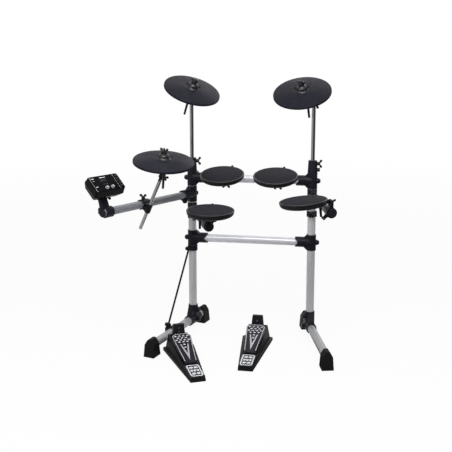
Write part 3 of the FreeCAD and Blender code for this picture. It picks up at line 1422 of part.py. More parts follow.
def build_module():
    """Sound module with its bracket, display, knobs and buttons."""
    place, hinge = module_frame()
    arm_way = direction(module_arm_angle)
    root = left_foot + up * module_arm_height + arm_way * (module_hinge_place - bracket_ring_back)
    arm_place = frame_at(root, arm_way, up)
    to_arm = arm_place.inverse()
    hinge_way = to_arm.Rotation.multVec(place.Rotation.multVec(to_right))
    wing_way = to_arm.Rotation.multVec(place.Rotation.multVec(Vector(0, 1, 0)))
    bracket, bolts, pin = module_bracket(to_arm.multVec(hinge), hinge_way, wing_way)
    add("module_bracket", moved(bracket, arm_place))
    add("clamp_bolts", *moved_all(bolts, arm_place))
    add("pad_wing_bolts", moved(pin, arm_place))
    add("module_case", moved(module_case(), place))
    add("module_panel", moved(module_panel(), place))
    add("module_display", moved(module_display(), place))
    for name, (x, y) in zip(("volume_knob", "select_knob"), knob_places()):
        add(name, moved(knob(), place.multiply(Placement(Vector(x, y, 0), Rotation()))))
    for i, (x, y) in enumerate(button_places()):
        add("button_%d" % (i + 1), moved(button(), place.multiply(Placement(Vector(x, y, 0), Rotation()))))


def pedal_place(across, ahead, turn):
    """Placement of a pedal whose toe stands at the given point of the floor."""
    spin = Rotation(up, turn)
    return Placement(Vector(across, ahead, 0) - spin.multVec(Vector(0, pedal_length, 0)), spin)


def build_pedal(name, place):
    """One foot pedal standing on the floor."""
    add(name + "_pedal_base", moved(pedal_base(), place))
    add(name + "_footboard", moved(footboard(), place.multiply(board_frame())))
    add("pedal_hinge_pins", moved(pedal_pin(), place))
    add("pedal_sensors", moved(pedal_sensor(), place))


def build_all():
    """Builds every node in the kit's own frame, midway between the uprights on the floor."""
    build_frame()
    module_root, module_way = build_arm("module_arm_tee", "module_arm_tube", left_foot, module_arm_height,
                                        module_arm_angle, module_arm_length)
    snare_root, snare_way = build_arm("pad_arm_tees", "pad_arm_tubes", left_foot, snare_arm_height,
                                      snare_arm_angle, snare_arm_length)
    tom_root, tom_way = build_arm("pad_arm_tees", "pad_arm_tubes", right_foot, floor_tom_arm_height,
                                  floor_tom_arm_angle, floor_tom_arm_length)
    jack = (pad_jack_side, pad_jack_back)
    for name, place in (("left_tom", left_tom_place), ("right_tom", right_tom_place)):
        build_pad(name, up * upper_bar_height + to_right * place, to_right,
                  pad_clamp(tube_radius, 0, 0, tom_lock_angle, 0), 0, 0, tom_tilt_angle, jack)
    build_pad("snare", snare_root + snare_way * snare_clamp_place, snare_way,
              pad_clamp(arm_radius, snare_riser, snare_fork_angle, snare_lock_angle, snare_clamp_extra),
              snare_riser, snare_arm_angle + snare_fork_angle - quarter_angle, snare_tilt_angle,
              (snare_jack_side, snare_jack_back))
    build_pad("floor_tom", tom_root + tom_way * floor_tom_clamp_place, tom_way,
              pad_clamp(arm_radius, 0, 0, floor_tom_lock_angle, 0), 0, floor_tom_arm_angle - quarter_angle,
              floor_tom_tilt_angle, jack)
    build_cymbal("crash", left_foot + up * crash_pivot_height, up, cymbal_rod_diameter, cymbal_rod_length,
                 crash_tilter_offset, crash_tilt_angle, crash_turn_angle, crash_jack_angle, crash_nut_angle)
    build_cymbal("ride", right_foot + up * ride_pivot_height, up, cymbal_rod_diameter, cymbal_rod_length,
                 ride_tilter_offset, ride_tilt_angle, ride_turn_angle, ride_jack_angle, ride_nut_angle)
    rod_way = tilted(hihat_rod_lean_angle, module_turn_angle)
    clamp_place = frame_at(module_root + module_way * hihat_clamp_place, module_way, rod_way)
    clamp, wings = hihat_clamp()
    add("hihat_rod_clamp", moved(clamp, clamp_place))
    add("rod_wing_bolts", *moved_all(wings, clamp_place))
    rod_point = clamp_place.multVec(Vector(0, hihat_rod_offset, 0))
    build_cymbal("hihat", rod_point + rod_way * hihat_rod_above, rod_way, hihat_rod_diameter,
                 hihat_rod_above + hihat_rod_below, hihat_tilter_offset, hihat_tilt_angle, hihat_turn_angle,
                 hihat_jack_angle, hihat_nut_angle)
    build_module()
    build_pedal("kick", pedal_place(kick_toe_across, kick_toe_ahead, kick_turn_angle))
    build_pedal("hihat", pedal_place(hihat_toe_across, hihat_toe_ahead, hihat_pedal_turn_angle))


def centred():
    """Moves every node so that the origin lies under the middle of the kit's box, on the floor."""
    box = FreeCAD.BoundBox()
    for shapes in nodes.values():
        for shape in shapes:
            box.add(shape.optimalBoundingBox(False))
    shift = Vector(-box.Center.x, -box.Center.y, -box.ZMin)
    place = Placement(shift, Rotation())
    return {name: moved_all(shapes, place) for name, shapes in nodes.items()}, shift


build_all()
finished, origin_shift = centred()
os.makedirs("parts", exist_ok=True)
for node_name, node_shapes in finished.items():
    Part.makeCompound(node_shapes).exportStep(os.path.join("parts", node_name + ".step"))
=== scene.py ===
"""Dresses the electronic drum kit: finishes, heads and skins, pedal and module trim, and the studio."""

import json
import logging
import math
from dataclasses import dataclass, field
from enum import Enum
from typing import Callable, Sequence

import bpy
import numpy as np
from mathutils import Matrix, Vector


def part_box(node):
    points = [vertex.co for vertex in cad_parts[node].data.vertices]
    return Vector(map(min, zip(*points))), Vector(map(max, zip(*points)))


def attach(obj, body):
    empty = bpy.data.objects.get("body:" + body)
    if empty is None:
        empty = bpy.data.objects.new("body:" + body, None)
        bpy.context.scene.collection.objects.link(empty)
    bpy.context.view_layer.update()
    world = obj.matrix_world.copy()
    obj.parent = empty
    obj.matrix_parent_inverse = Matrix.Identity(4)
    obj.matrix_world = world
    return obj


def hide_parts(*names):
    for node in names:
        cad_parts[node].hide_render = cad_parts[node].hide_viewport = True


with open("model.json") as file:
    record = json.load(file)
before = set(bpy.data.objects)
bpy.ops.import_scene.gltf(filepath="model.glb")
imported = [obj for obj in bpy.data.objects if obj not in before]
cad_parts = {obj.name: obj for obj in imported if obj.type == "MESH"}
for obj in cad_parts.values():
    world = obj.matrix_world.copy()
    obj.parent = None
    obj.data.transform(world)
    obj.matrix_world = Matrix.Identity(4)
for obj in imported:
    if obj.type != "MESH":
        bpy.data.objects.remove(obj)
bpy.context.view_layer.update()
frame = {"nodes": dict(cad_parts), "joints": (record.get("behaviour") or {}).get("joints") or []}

log = logging.getLogger("drum_kit")
Point = tuple[float, float]
Colour = tuple[float, float, float]
MM = 0.001
TONE_OCTAVES = 3.0
GRAIN_OCTAVES = 4.0
ROUGHNESS_SPREAD = 0.06
MERGE_REACH = 1e-6
SMOOTH_ANGLE = 35.0
ROUND_ANGLE = 60.0


class Tree:
    """Short hand for building a node tree.

    Args:
        tree: The tree to build in.
    """

    def __init__(self, tree: bpy.types.NodeTree) -> None:
        """Keeps the tree."""
        self.tree = tree

    def add(self, kind: str, **settings: object) -> bpy.types.Node:
        """Adds a node and sets its properties."""
        node = self.tree.nodes.new(kind)
        for key, value in settings.items():
            setattr(node, key, value)
        return node

    def link(self, source: bpy.types.NodeSocket, target: bpy.types.NodeSocket) -> None:
        """Links two sockets."""
        self.tree.links.new(source, target)

    def mixed(self, factor: bpy.types.NodeSocket, first: bpy.types.NodeSocket, second: bpy.types.NodeSocket
              ) -> bpy.types.NodeSocket:
        """Mixes two shaders by a factor."""
        node = self.add("ShaderNodeMixShader")
        for source, target in zip((factor, first, second), node.inputs):
            self.link(source, target)
        return node.outputs["Shader"]

    def span(self, factor: bpy.types.NodeSocket, low: float, high: float, start: float = 0.0, end: float = 1.0
             ) -> bpy.types.NodeSocket:
        """Maps a value between start and end onto a range from low to high."""
        node = self.add("ShaderNodeMapRange")
        for key, value in (("From Min", start), ("From Max", end), ("To Min", low), ("To Max", high)):
            node.inputs[key].default_value = value
        self.link(factor, node.inputs["Value"])
        return node.outputs["Result"]


class Nodes(Tree):
    """Short hand for the node tree of one material.

    Args:
        name: The material's name.
    """

    def __init__(self, name: str) -> None:
        """Makes the material with its shader and object coordinates."""
        self.material = bpy.data.materials.new(name)
        self.material.use_nodes = True
        super().__init__(self.material.node_tree)
        self.shader = self.tree.nodes["Principled BSDF"]
        self.place = self.add("ShaderNodeTexCoord").outputs["Object"]

    def noise(self, scale: float, detail: float) -> bpy.types.NodeSocket:
        """Adds a noise pattern in object coordinates.

        Args:
            scale: Cells per metre.
            detail: Octaves of finer noise.

        Returns:
            The noise's factor socket.
        """
        node = self.add("ShaderNodeTexNoise")
        node.inputs["Scale"].default_value = scale
        node.inputs["Detail"].default_value = detail
        self.link(self.place, node.inputs["Vector"])
        return node.outputs["Fac"]

    def ramp(self, factor: bpy.types.NodeSocket, low: Colour, high: Colour, start: float = 0.3,
             end: float = 0.7) -> bpy.types.NodeSocket:
        """Runs a factor through a ramp between two colours."""
        node = self.add("ShaderNodeValToRGB")
        first, last = node.color_ramp.elements
        first.position, last.position = start, end
        first.color, last.color = (*low, 1.0), (*high, 1.0)
        self.link(factor, node.inputs["Fac"])
        return node.outputs["Color"]

    def bump(self, height: bpy.types.NodeSocket, depth: float) -> None:
        """Bumps the shader's surface by a height pattern of a depth in metres."""
        node = self.add("ShaderNodeBump")
        node.inputs["Strength"].default_value = 1.0
        node.inputs["Distance"].default_value = depth
        self.link(height, node.inputs["Height"])
        self.link(node.outputs["Normal"], self.shader.inputs["Normal"])


def shade(colour: Colour, factor: float) -> Colour:
    """Gives a colour made lighter or darker by a factor."""
    return tuple(min(c * factor, 1.0) for c in colour)


@dataclass(frozen=True)
class Finish:
    """One surface finish, with grain and tone that vary over the piece.

    Args:
        name: The material's name.
        colour: Linear base colour.
        roughness: Middle roughness.
        metallic: How metallic the surface is.
        specular: Specular level of the coat.
        mottle: Share by which the tone varies.
        mottle_scale: Patches of tone per metre.
        grain_scale: Grains per metre.
        grain_depth: Depth of the grain, in metres.
        coat: Weight of a clear coat.
    """

    name: str
    colour: Colour
    roughness: float
    metallic: float = 0.0
    specular: float = 0.3
    mottle: float = 0.12
    mottle_scale: float = 30.0
    grain_scale: float = 900.0
    grain_depth: float = 0.00008
    coat: float = 0.0

    def make(self) -> bpy.types.Material:
        """Builds the node material.

        Returns:
            The new material.
        """
        nodes = Nodes(self.name)
        shader = nodes.shader
        shader.inputs["Metallic"].default_value = self.metallic
        shader.inputs["Specular IOR Level"].default_value = self.specular
        shader.inputs["Coat Weight"].default_value = self.coat
        tone = nodes.noise(self.mottle_scale, TONE_OCTAVES)
        colour = nodes.ramp(tone, shade(self.colour, 1 - self.mottle), shade(self.colour, 1 + self.mottle))
        nodes.link(colour, shader.inputs["Base Color"])
        grain = nodes.noise(self.grain_scale, GRAIN_OCTAVES)
        worn = nodes.span(grain, self.roughness - ROUGHNESS_SPREAD, self.roughness + ROUGHNESS_SPREAD)
        nodes.link(worn, shader.inputs["Roughness"])
        nodes.bump(grain, self.grain_depth)
        return nodes.material


SATIN_SILVER = Finish("satin_silver_tube", (0.60, 0.602, 0.645),
                      0.40, 0.35, 0.4, 0.03, 14.0, 2400.0, 0.000006)
# The crossbars' silver made darker: painted shade on the upright tubes, which face the overhead light less
# than the crossbars do.
UPRIGHT_SILVER_PAINTED_SHADE = Finish("upright_silver_painted_shade", (0.53, 0.533, 0.555),
                        0.36, 0.32, 0.4, 0.03, 14.0, 2400.0, 0.000006)
# The tube silver made much darker: painted shade on the module arm, whose seen side faces away from the
# light.
ARM_SILVER_PAINTED_SHADE = Finish("arm_silver_painted_shade", (0.235, 0.247, 0.268),
                     0.42, 0.4, 0.4, 0.04, 14.0, 2400.0, 0.000006)
# The tube silver made darker: painted shade on the leg tubes, whose seen sides face away from the light.
LEG_SILVER_PAINTED_SHADE = Finish("leg_silver_painted_shade", (0.33, 0.335, 0.345),
                    0.42, 0.4, 0.4, 0.04, 14.0, 2400.0, 0.000006)
CHROME = Finish("chromed_rod", (0.44, 0.45, 0.46), 0.14, 1.0, 0.5, 0.03, 20.0, 3000.0, 0.000002)
MOULDED_BLACK = Finish("moulded_black_plastic", (0.0083, 0.0079, 0.0130),
                       0.46, 0.0, 0.16, 0.15, 45.0, 1800.0, 0.00004)
PAD_RUBBER = Finish("pad_rubber", (0.0174, 0.0171, 0.0218),
                    0.66, 0.0, 0.035, 0.06, 60.0, 1500.0, 0.00008)
PAD_RIM = Finish("pad_rim_rubber", (0.008, 0.008, 0.009),
                 0.34, 0.0, 0.22, 0.08, 60.0, 1500.0, 0.00003)
PAD_SHELL = Finish("pad_shell_plastic", (0.0073, 0.0071, 0.0095),
                   0.48, 0.0, 0.14, 0.1, 40.0, 1600.0, 0.00004)
CYMBAL_RUBBER = Finish("cymbal_rubber", (0.0090, 0.0088, 0.0155),
                       0.46, 0.0, 0.10, 0.08, 50.0, 1400.0, 0.00004)
CUP_PLASTIC = Finish("cymbal_cup_plastic", (0.008, 0.008, 0.011),
                     0.34, 0.0, 0.40, 0.1, 40.0, 1600.0, 0.00002)
CASE_PLASTIC = Finish("module_case_plastic", (0.0035, 0.0035, 0.0042),
                      0.42, 0.0, 0.12, 0.12, 50.0, 2000.0, 0.00003)
PANEL_PLASTIC = Finish("module_panel_plastic", (0.0025, 0.0026, 0.0034),
                       0.40, 0.0, 0.03, 0.1, 50.0, 2000.0, 0.00002)
FOOT_RUBBER = Finish("foot_rubber", (0.0065, 0.0065, 0.007),
                     0.66, 0.0, 0.10, 0.15, 40.0, 900.0, 0.00010)
PEDAL_PLASTIC = Finish("pedal_base_plastic", (0.0075, 0.0075, 0.009),
                       0.50, 0.0, 0.13, 0.12, 40.0, 1500.0, 0.00005)
BOARD_PAINT = Finish("footboard_paint", (0.008, 0.008, 0.013),
                     0.38, 0.0, 0.10, 0.1, 40.0, 1700.0, 0.00002)
TRIM_SILVER = Finish("silver_trim", (0.40, 0.405, 0.43),
                     0.42, 0.3, 0.4, 0.06, 90.0, 2600.0, 0.00002)
GRIP_WHITE = Finish("pale_grip_rubber", (0.56, 0.56, 0.59),
                    0.5, 0.0, 0.3, 0.06, 90.0, 2200.0, 0.00003)
BLACK_STEEL = Finish("black_steel", (0.0085, 0.0085, 0.010),
                     0.38, 0.2, 0.20, 0.12, 60.0, 2000.0, 0.00002)
FELT = Finish("felt_washer", (0.012, 0.012, 0.014), 0.8, 0.0, 0.1, 0.2, 90.0, 1100.0, 0.0003)
NUT_BLACK = Finish("wing_nut_plastic", (0.012, 0.012, 0.016),
                   0.2, 0.0, 0.6, 0.1, 60.0, 2000.0, 0.00001, 0.5)
GLASS_BLACK = Finish("display_window", (0.004, 0.005, 0.0045),
                     0.16, 0.0, 0.06, 0.05, 30.0, 1500.0, 0.000005)
KNOB_SILVER = Finish("knob_silver", (0.33, 0.335, 0.36),
                     0.30, 0.4, 0.5, 0.05, 80.0, 2600.0, 0.00001)
BUTTON_GREY = Finish("button_rubber", (0.024, 0.024, 0.027),
                     0.5, 0.0, 0.2, 0.08, 80.0, 2200.0, 0.00003)
SCREW_STEEL = Finish("screw_steel", (0.14, 0.14, 0.15), 0.3, 0.9, 0.5, 0.05, 90.0, 2500.0, 0.00001)
DIGIT_GLOW = Finish("display_digit", (0.15, 0.145, 0.09),
                    0.4, 0.0, 0.3, 0.05, 120.0, 2500.0, 0.00001)
LAMP_PALE = Finish("panel_lamp", (0.20, 0.20, 0.21), 0.2, 0.0, 0.5, 0.05, 120.0, 2500.0, 0.00001)
PRINT_PALE = Finish("pale_print", (0.62, 0.63, 0.66), 0.5, 0.0, 0.3, 0.05, 120.0, 2500.0, 0.00001)

NODE_FINISHES: dict[Finish, tuple[str, ...]] = {
    SATIN_SILVER: ("upper_crossbar_tube", "lower_crossbar_tube"),
    UPRIGHT_SILVER_PAINTED_SHADE: ("left_upright_tube", "right_upright_tube"),
    LEG_SILVER_PAINTED_SHADE: ("leg_tubes",),
    ARM_SILVER_PAINTED_SHADE: ("module_arm_tube",),
    MOULDED_BLACK: ("upper_tees", "lower_tees", "leg_tees", "module_arm_tee", "pad_arm_tees", "tube_end_caps",
                    "pad_clamps", "hihat_rod_clamp", "module_bracket", "stop_collar", "brace_clamps"),
    BLACK_STEEL: ("clamp_bolts", "pad_wing_bolts", "rod_wing_bolts", "pedal_hinge_pins",
                  "pad_arm_tubes"),
    FOOT_RUBBER: ("leg_feet", "pedal_sensors", "brace_rod"),
    PEDAL_PLASTIC: ("kick_pedal_base", "hihat_pedal_base"),
    BOARD_PAINT: ("kick_footboard", "hihat_footboard"),
    PAD_RUBBER: ("left_tom_pad_head", "right_tom_pad_head", "snare_pad_head", "floor_tom_pad_head"),
    PAD_SHELL: ("left_tom_pad_shell", "right_tom_pad_shell", "snare_pad_shell", "floor_tom_pad_shell"),
    CYMBAL_RUBBER: ("crash_cymbal_skin", "ride_cymbal_skin", "hihat_cymbal_skin"),
    CUP_PLASTIC: ("crash_cymbal_shell", "ride_cymbal_shell", "hihat_cymbal_shell"),
    CASE_PLASTIC: ("module_case",),
    PANEL_PLASTIC: ("module_panel",),
    GLASS_BLACK: ("module_display",),
    KNOB_SILVER: ("volume_knob", "select_knob"),
    BUTTON_GREY: ("button_1", "button_2", "button_3", "button_4", "button_5"),
}


class Library:
    """Keeps one material per finish."""

    def __init__(self) -> None:
        """Starts with no material."""
        self.made: dict[Finish, bpy.types.Material] = {}

    def get(self, finish: Finish) -> bpy.types.Material:
        """Gives a finish's material, made at its first use."""
        if finish not in self.made:
            self.made[finish] = finish.make()
        return self.made[finish]

    def dress(self, piece: bpy.types.Object, finish: Finish) -> None:
        """Gives a piece one finish all over."""
        piece.data.materials.clear()
        piece.data.materials.append(self.get(finish))

    def dress_parts(self, piece: bpy.types.Object, finishes: Sequence[Finish], choose: Callable[[Vector], int]
                    ) -> None:
        """Gives a piece several finishes.

        Args:
            piece: The piece to dress.
            finishes: The finishes, in order.
            choose: Gives the number of the finish for a face's centre.
        """
        piece.data.materials.clear()
        for finish in finishes:
            piece.data.materials.append(self.get(finish))
        for face in piece.data.polygons:
            face.material_index = choose(face.center)


def clear_selection() -> None:
    """Leaves edit mode and deselects everything."""
    if bpy.context.object and bpy.context.object.mode != "OBJECT":
        bpy.ops.object.mode_set(mode="OBJECT")
    bpy.ops.object.select_all(action="DESELECT")


def chain(name: str, points: Sequence[Vector]) -> bpy.types.Object:
    """Starts a piece as a chain of edges through points, left in edit mode.

    Args:
        name: The piece's name.
        points: The chain's points, in order.

    Returns:
        The new object.
    """
    clear_selection()
    bpy.ops.mesh.primitive_plane_add(size=1.0)
    piece = bpy.context.object
    piece.name = name
    bpy.ops.object.mode_set(mode="EDIT")
    bpy.ops.mesh.select_all(action="SELECT")
    bpy.ops.mesh.merge(type="CENTER")
    bpy.ops.transform.translate(value=points[0])
    for before, after in zip(points, points[1:]):
        bpy.ops.mesh.extrude_region_move(TRANSFORM_OT_translate={"value": after - before})
    bpy.ops.mesh.select_all(action="SELECT")
    return piece


def lathe(name: str, profile: Sequence[Point], steps: int) -> bpy.types.Object:
    """Turns a half profile round the Z axis.

    Args:
        name: The piece's name.
        profile: Radius and height of each point.
        steps: Sides of the round.

    Returns:
        The closed piece, in object mode.
    """
    piece = chain(name, [Vector((r, 0.0, z)) for r, z in profile])
    bpy.ops.mesh.spin(steps=steps, angle=math.tau, center=(0, 0, 0), axis=(0, 0, 1))
    close_mesh()
    return piece


def close_mesh() -> None:
    """Merges doubles, turns the faces outwards and goes back to object mode."""
    bpy.ops.mesh.select_all(action="SELECT")
    bpy.ops.mesh.remove_doubles(threshold=MERGE_REACH)
    bpy.ops.mesh.normals_make_consistent(inside=False)
    bpy.ops.object.mode_set(mode="OBJECT")


def plate(name: str, outline: Sequence[Point], depth: float) -> bpy.types.Object:
    """Makes a flat plate of an outline in XY.

    Args:
        name: The piece's name.
        outline: The outline's corners.
        depth: The plate's thickness, upwards.

    Returns:
        The closed plate, in object mode.
    """
    piece = chain(name, [Vector((x, y, 0.0)) for x, y in outline])
    bpy.ops.mesh.edge_face_add()
    bpy.ops.mesh.extrude_region_move(TRANSFORM_OT_translate={"value": (0, 0, depth)})
    close_mesh()
    return piece


def border(name: str, outline: Sequence[Point], width: float, depth: float) -> bpy.types.Object:
    """Makes a raised line of even width that runs inside an outline.

    Args:
        name: The piece's name.
        outline: The line's outer corners.
        width: The line's width.
        depth: The line's thickness, upwards.

    Returns:
        The closed line, in object mode.
    """
    piece = chain(name, [Vector((x, y, 0.0)) for x, y in outline])
    bpy.ops.mesh.edge_face_add()
    bpy.ops.mesh.inset(thickness=width, use_even_offset=True)
    bpy.ops.mesh.delete(type="FACE")
    bpy.ops.mesh.select_all(action="SELECT")
    bpy.ops.mesh.extrude_region_move(TRANSFORM_OT_translate={"value": (0, 0, depth)})
    close_mesh()
    return piece


def softened(piece: bpy.types.Object, width: float, segments: int = 2) -> bpy.types.Object:
    """Rounds a piece's sharp edges with an applied bevel."""
    clear_selection()
    piece.select_set(True)
    bpy.context.view_layer.objects.active = piece
    bevel = piece.modifiers.new("edge_round", "BEVEL")
    bevel.width, bevel.segments, bevel.limit_method = width, segments, "ANGLE"
    bpy.ops.object.modifier_apply(modifier=bevel.name)
    return piece


def smoothed(piece: bpy.types.Object, angle: float = SMOOTH_ANGLE) -> bpy.types.Object:
    """Shades a piece smooth where its faces meet at less than an angle."""
    clear_selection()
    piece.select_set(True)
    bpy.context.view_layer.objects.active = piece
    bpy.ops.object.shade_smooth_by_angle(angle=math.radians(angle))
    return piece


def settled(piece: bpy.types.Object, place: Matrix) -> bpy.types.Object:
    """Moves a piece to its place and bakes the place into its mesh."""
    clear_selection()
    piece.select_set(True)
    bpy.context.view_layer.objects.active = piece
    piece.matrix_world = place
    bpy.ops.object.transform_apply(location=True, rotation=True, scale=True)
    return piece


def joined(name: str, pieces: Sequence[bpy.types.Object]) -> bpy.types.Object:
    """Joins pieces into one named object."""
    clear_selection()
    for piece in pieces:
        piece.select_set(True)
    bpy.context.view_layer.objects.active = pieces[0]
    if len(pieces) > 1:
        bpy.ops.object.join()
    pieces[0].name = name
    return pieces[0]


def copied(piece: bpy.types.Object, shift: Vector) -> bpy.types.Object:
    """Copies a piece with its own mesh, moved by a shift."""
    clear_selection()
    piece.select_set(True)
    bpy.context.view_layer.objects.active = piece
    bpy.ops.object.duplicate(linked=False)
    bpy.ops.transform.translate(value=shift)
    bpy.ops.object.transform_apply(location=True, rotation=True, scale=True)
    return bpy.context.object


def socket_screw(radius: float, height: float) -> bpy.types.Object:
    """Models a pan head screw with a socket, its seat on the XY plane.

    Args:
        radius: The head's radius.
        height: The head's height.

    Returns:
        The finished screw head.
    """
    socket_share, socket_depth, edge_share, sides = 0.5, 0.6, 0.25, 24
    clear_selection()
    bpy.ops.mesh.primitive_cylinder_add(vertices=sides, radius=radius, depth=height,
                                        location=(0, 0, height / 2))
    piece = bpy.context.object
    bpy.ops.object.transform_apply(location=True)
    for face in piece.data.polygons:
        face.select = face.normal.z > 0.5
    bpy.ops.object.mode_set(mode="EDIT")
    bpy.ops.mesh.inset(thickness=radius * socket_share)
    bpy.ops.mesh.extrude_region_move(TRANSFORM_OT_translate={"value": (0, 0, -height * socket_depth)})
    close_mesh()
    return smoothed(softened(piece, height * edge_share))


def arc_points(centre: Point, radius: float, start: float, end: float, count: int) -> list[Point]:
    """Gives points on an arc, its angles in degrees."""
    angles = [math.radians(start + (end - start) * i / count) for i in range(count + 1)]
    return [(centre[0] + radius * math.cos(a), centre[1] + radius * math.sin(a)) for a in angles]


def corners_of(node: str) -> np.ndarray:
    """Gives a CAD node's corners as rows."""
    return np.array([v.co for v in frame["nodes"][node].data.vertices])


def disc_axis(node: str) -> Vector:
    """Finds the upward axis of a flat round node from its faces."""
    spread = np.zeros((3, 3))
    for face in frame["nodes"][node].data.polygons:
        normal = np.array(face.normal)
        spread += face.area * np.outer(normal, normal)
    axis = Vector(np.linalg.eigh(spread)[1][:, -1])
    return axis if axis.z > 0 else -axis


def basis(x_way: Vector, z_way: Vector) -> Matrix:
    """Makes a turn whose Z is z_way and whose X lies as near x_way as it can."""
    z = z_way.normalized()
    y = z.cross(x_way).normalized()
    x = y.cross(z)
    return Matrix((x, y, z)).transposed()


def seat_of(node: str, turn: Matrix) -> tuple[Vector, Vector]:
    """Gives a node's lowest and highest corner in a turned frame."""
    local = corners_of(node) @ np.array(turn)
    return Vector(local.min(0)), Vector(local.max(0))


def joint_named(name: str) -> dict:
    """Finds a joint of the record by its name."""
    return next(j for j in frame["joints"] if j["name"] == name)


def rightward(joint: dict) -> Vector:
    """Gives a joint's axis, turned so that it points to the right."""
    axis = Vector(joint["axis"])
    return axis if axis.x > 0 else -axis


def placed(turn: Matrix, local: Vector) -> Matrix:
    """Makes a placement from a turn and a point given in the turned frame."""
    return Matrix.Translation(turn @ local) @ turn.to_4x4()


def dot_row(along: float, count: int, pitch: float) -> list[Point]:
    """Gives the centres of one row of dots, centred across the board."""
    return [((i - (count - 1) / 2) * pitch, along) for i in range(count)]


@dataclass
class PadHead:
    """Rubber playing head of one pad, with its rounded rim and a shallow rim line."""

    name: str
    library: Library
    rim_round: float = 3.0 * MM
    line_inset: float = 6.0 * MM
    line_width: float = 1.6 * MM
    line_depth: float = 0.5 * MM
    edge_break: float = 0.8 * MM
    rim_steps: int = 8
    sides: int = 128

    def build(self) -> bpy.types.Object:
        """Models the head in the place of its CAD solid.

        Returns:
            The finished head.
        """
        node = self.name + "_pad_head"
        turn = basis(Vector((1, 0, 0)), disc_axis(node))
        low, high = seat_of(node, turn)
        radius = (high.x - low.x) / 2
        height = high.z - low.z
        profile = [(0.0, 0.0), (radius - self.edge_break, 0.0), (radius, self.edge_break)]
        inset = radius - self.rim_round
        profile += arc_points((inset, height - self.rim_round), self.rim_round, 0, 90, self.rim_steps)
        line = radius - self.line_inset
        half = self.line_width / 2
        profile += [(line + half, height), (line, height - self.line_depth), (line - half, height)]
        profile += [(0.0, height)]
        piece = smoothed(lathe(self.name + "_rubber_head", profile, self.sides))
        self.library.dress_parts(piece, (PAD_RUBBER, PAD_RIM), lambda c: int(c.xy.length > line))
        middle = (low + high) / 2
        return settled(piece, placed(turn, Vector((middle.x, middle.y, low.z))))

    def dress(self) -> None:
        """Builds the head and hangs it on its pad."""
        piece = self.build()
        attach(piece, self.name + "_pad")
        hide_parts(self.name + "_pad_head")
        log.info("rubber head on %s", self.name)


@dataclass
class CymbalSkin:
    """Ribbed rubber skin of one cymbal pad."""

    name: str
    library: Library
    bow: float = 15.0 * MM
    thickness: float = 3.6 * MM
    step: float = 1.4 * MM
    lip: float = 7.0 * MM
    plate: float = 2.6 * MM
    inner: float = 33.0 * MM
    ribs: int = 22
    rib_depth: float = 0.45 * MM
    rib_form: tuple[Point, ...] = ((0.0, 0.0), (0.62, 0.0), (0.74, 1.0), (0.88, 1.0))
    bow_power: float = 1.5
    rim_steps: int = 6
    sides: int = 144

    def level(self, radius: float, edge: float) -> float:
        """Gives the plate's height at a radius."""
        share = max(radius - self.inner, 0.0) / (edge - self.inner)
        return self.plate - self.bow * share ** self.bow_power

    def build(self) -> bpy.types.Object:
        """Models the skin in the place of its CAD solid.

        Returns:
            The finished skin.
        """
        node = self.name + "_cymbal_skin"
        turn = basis(Vector((1, 0, 0)), disc_axis(node))
        low, high = seat_of(node, turn)
        edge = (high.x - low.x) / 2
        wrap = edge - self.thickness
        base = self.level(wrap, edge) - self.lip
        foot = self.level(self.inner, edge)
        profile = [(self.inner, foot), (self.inner, foot + self.step)]
        start = self.inner + self.thickness
        pitch = (wrap - start) / self.ribs
        for i in range(self.ribs):
            for share, drop in self.rib_form:
                radius = start + pitch * (i + share)
                profile.append((radius, self.level(radius, edge) + self.thickness - drop * self.rib_depth))
        rim = self.level(wrap, edge)
        profile += arc_points((wrap, rim), self.thickness, 90, 0, self.rim_steps)
        profile += [(edge, base + self.rib_depth), (edge - self.rib_depth, base), (wrap, base), (wrap, rim)]
        middle = (self.inner + wrap) / 2
        profile += [(middle, self.level(middle, edge)), profile[0]]
        piece = smoothed(lathe(self.name + "_ribbed_skin", profile, self.sides))
        centre = (low + high) / 2
        return settled(piece, placed(turn, Vector((centre.x, centre.y, low.z - base))))

    def dress(self) -> None:
        """Builds the skin, gives it its rubber and hangs it on its cymbal."""
        piece = self.build()
        self.library.dress(piece, CYMBAL_RUBBER)
        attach(piece, self.name + "_cymbal")
        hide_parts(self.name + "_cymbal_skin")
        log.info("ribbed skin on %s", self.name)


@dataclass
class CymbalStand:
    """Rod and tilter of one cymbal: a bright shaft, black head and arm, felt and wing nut."""

    name: str
    library: Library
    head_reach: float = 90.0 * MM
    felt_foot: float = 25.0 * MM
    felt_top: float = 33.05 * MM

    def dress(self) -> None:
        """Gives the rod's shaft and head and the tilter's pieces their finishes."""
        head = Vector(joint_named(self.name + "_tilt")["pos_m"])
        seat = Vector(joint_named(self.name + "_rock")["pos_m"])
        axis = disc_axis(self.name + "_cymbal_skin")
        levels = (self.felt_foot, self.felt_top)
        self.library.dress_parts(frame["nodes"][self.name + "_rod"], (MOULDED_BLACK, CHROME),
                                 lambda c: int((c - head).length > self.head_reach))
        self.library.dress_parts(frame["nodes"][self.name + "_tilter"], (BLACK_STEEL, FELT, NUT_BLACK),
                                 lambda c: int(np.searchsorted(levels, (c - seat) @ axis)))
        log.info("rod and tilter of %s", self.name)


class PedalKind(Enum):
    """The two pedals and the number of screws on each one's tower."""

    KICK = ("kick", 1)
    HIHAT = ("hihat", 2)

    def __init__(self, label: str, screws: int) -> None:
        """Keeps the pedal's label and its screws."""
        self.label = label
        self.screws = screws


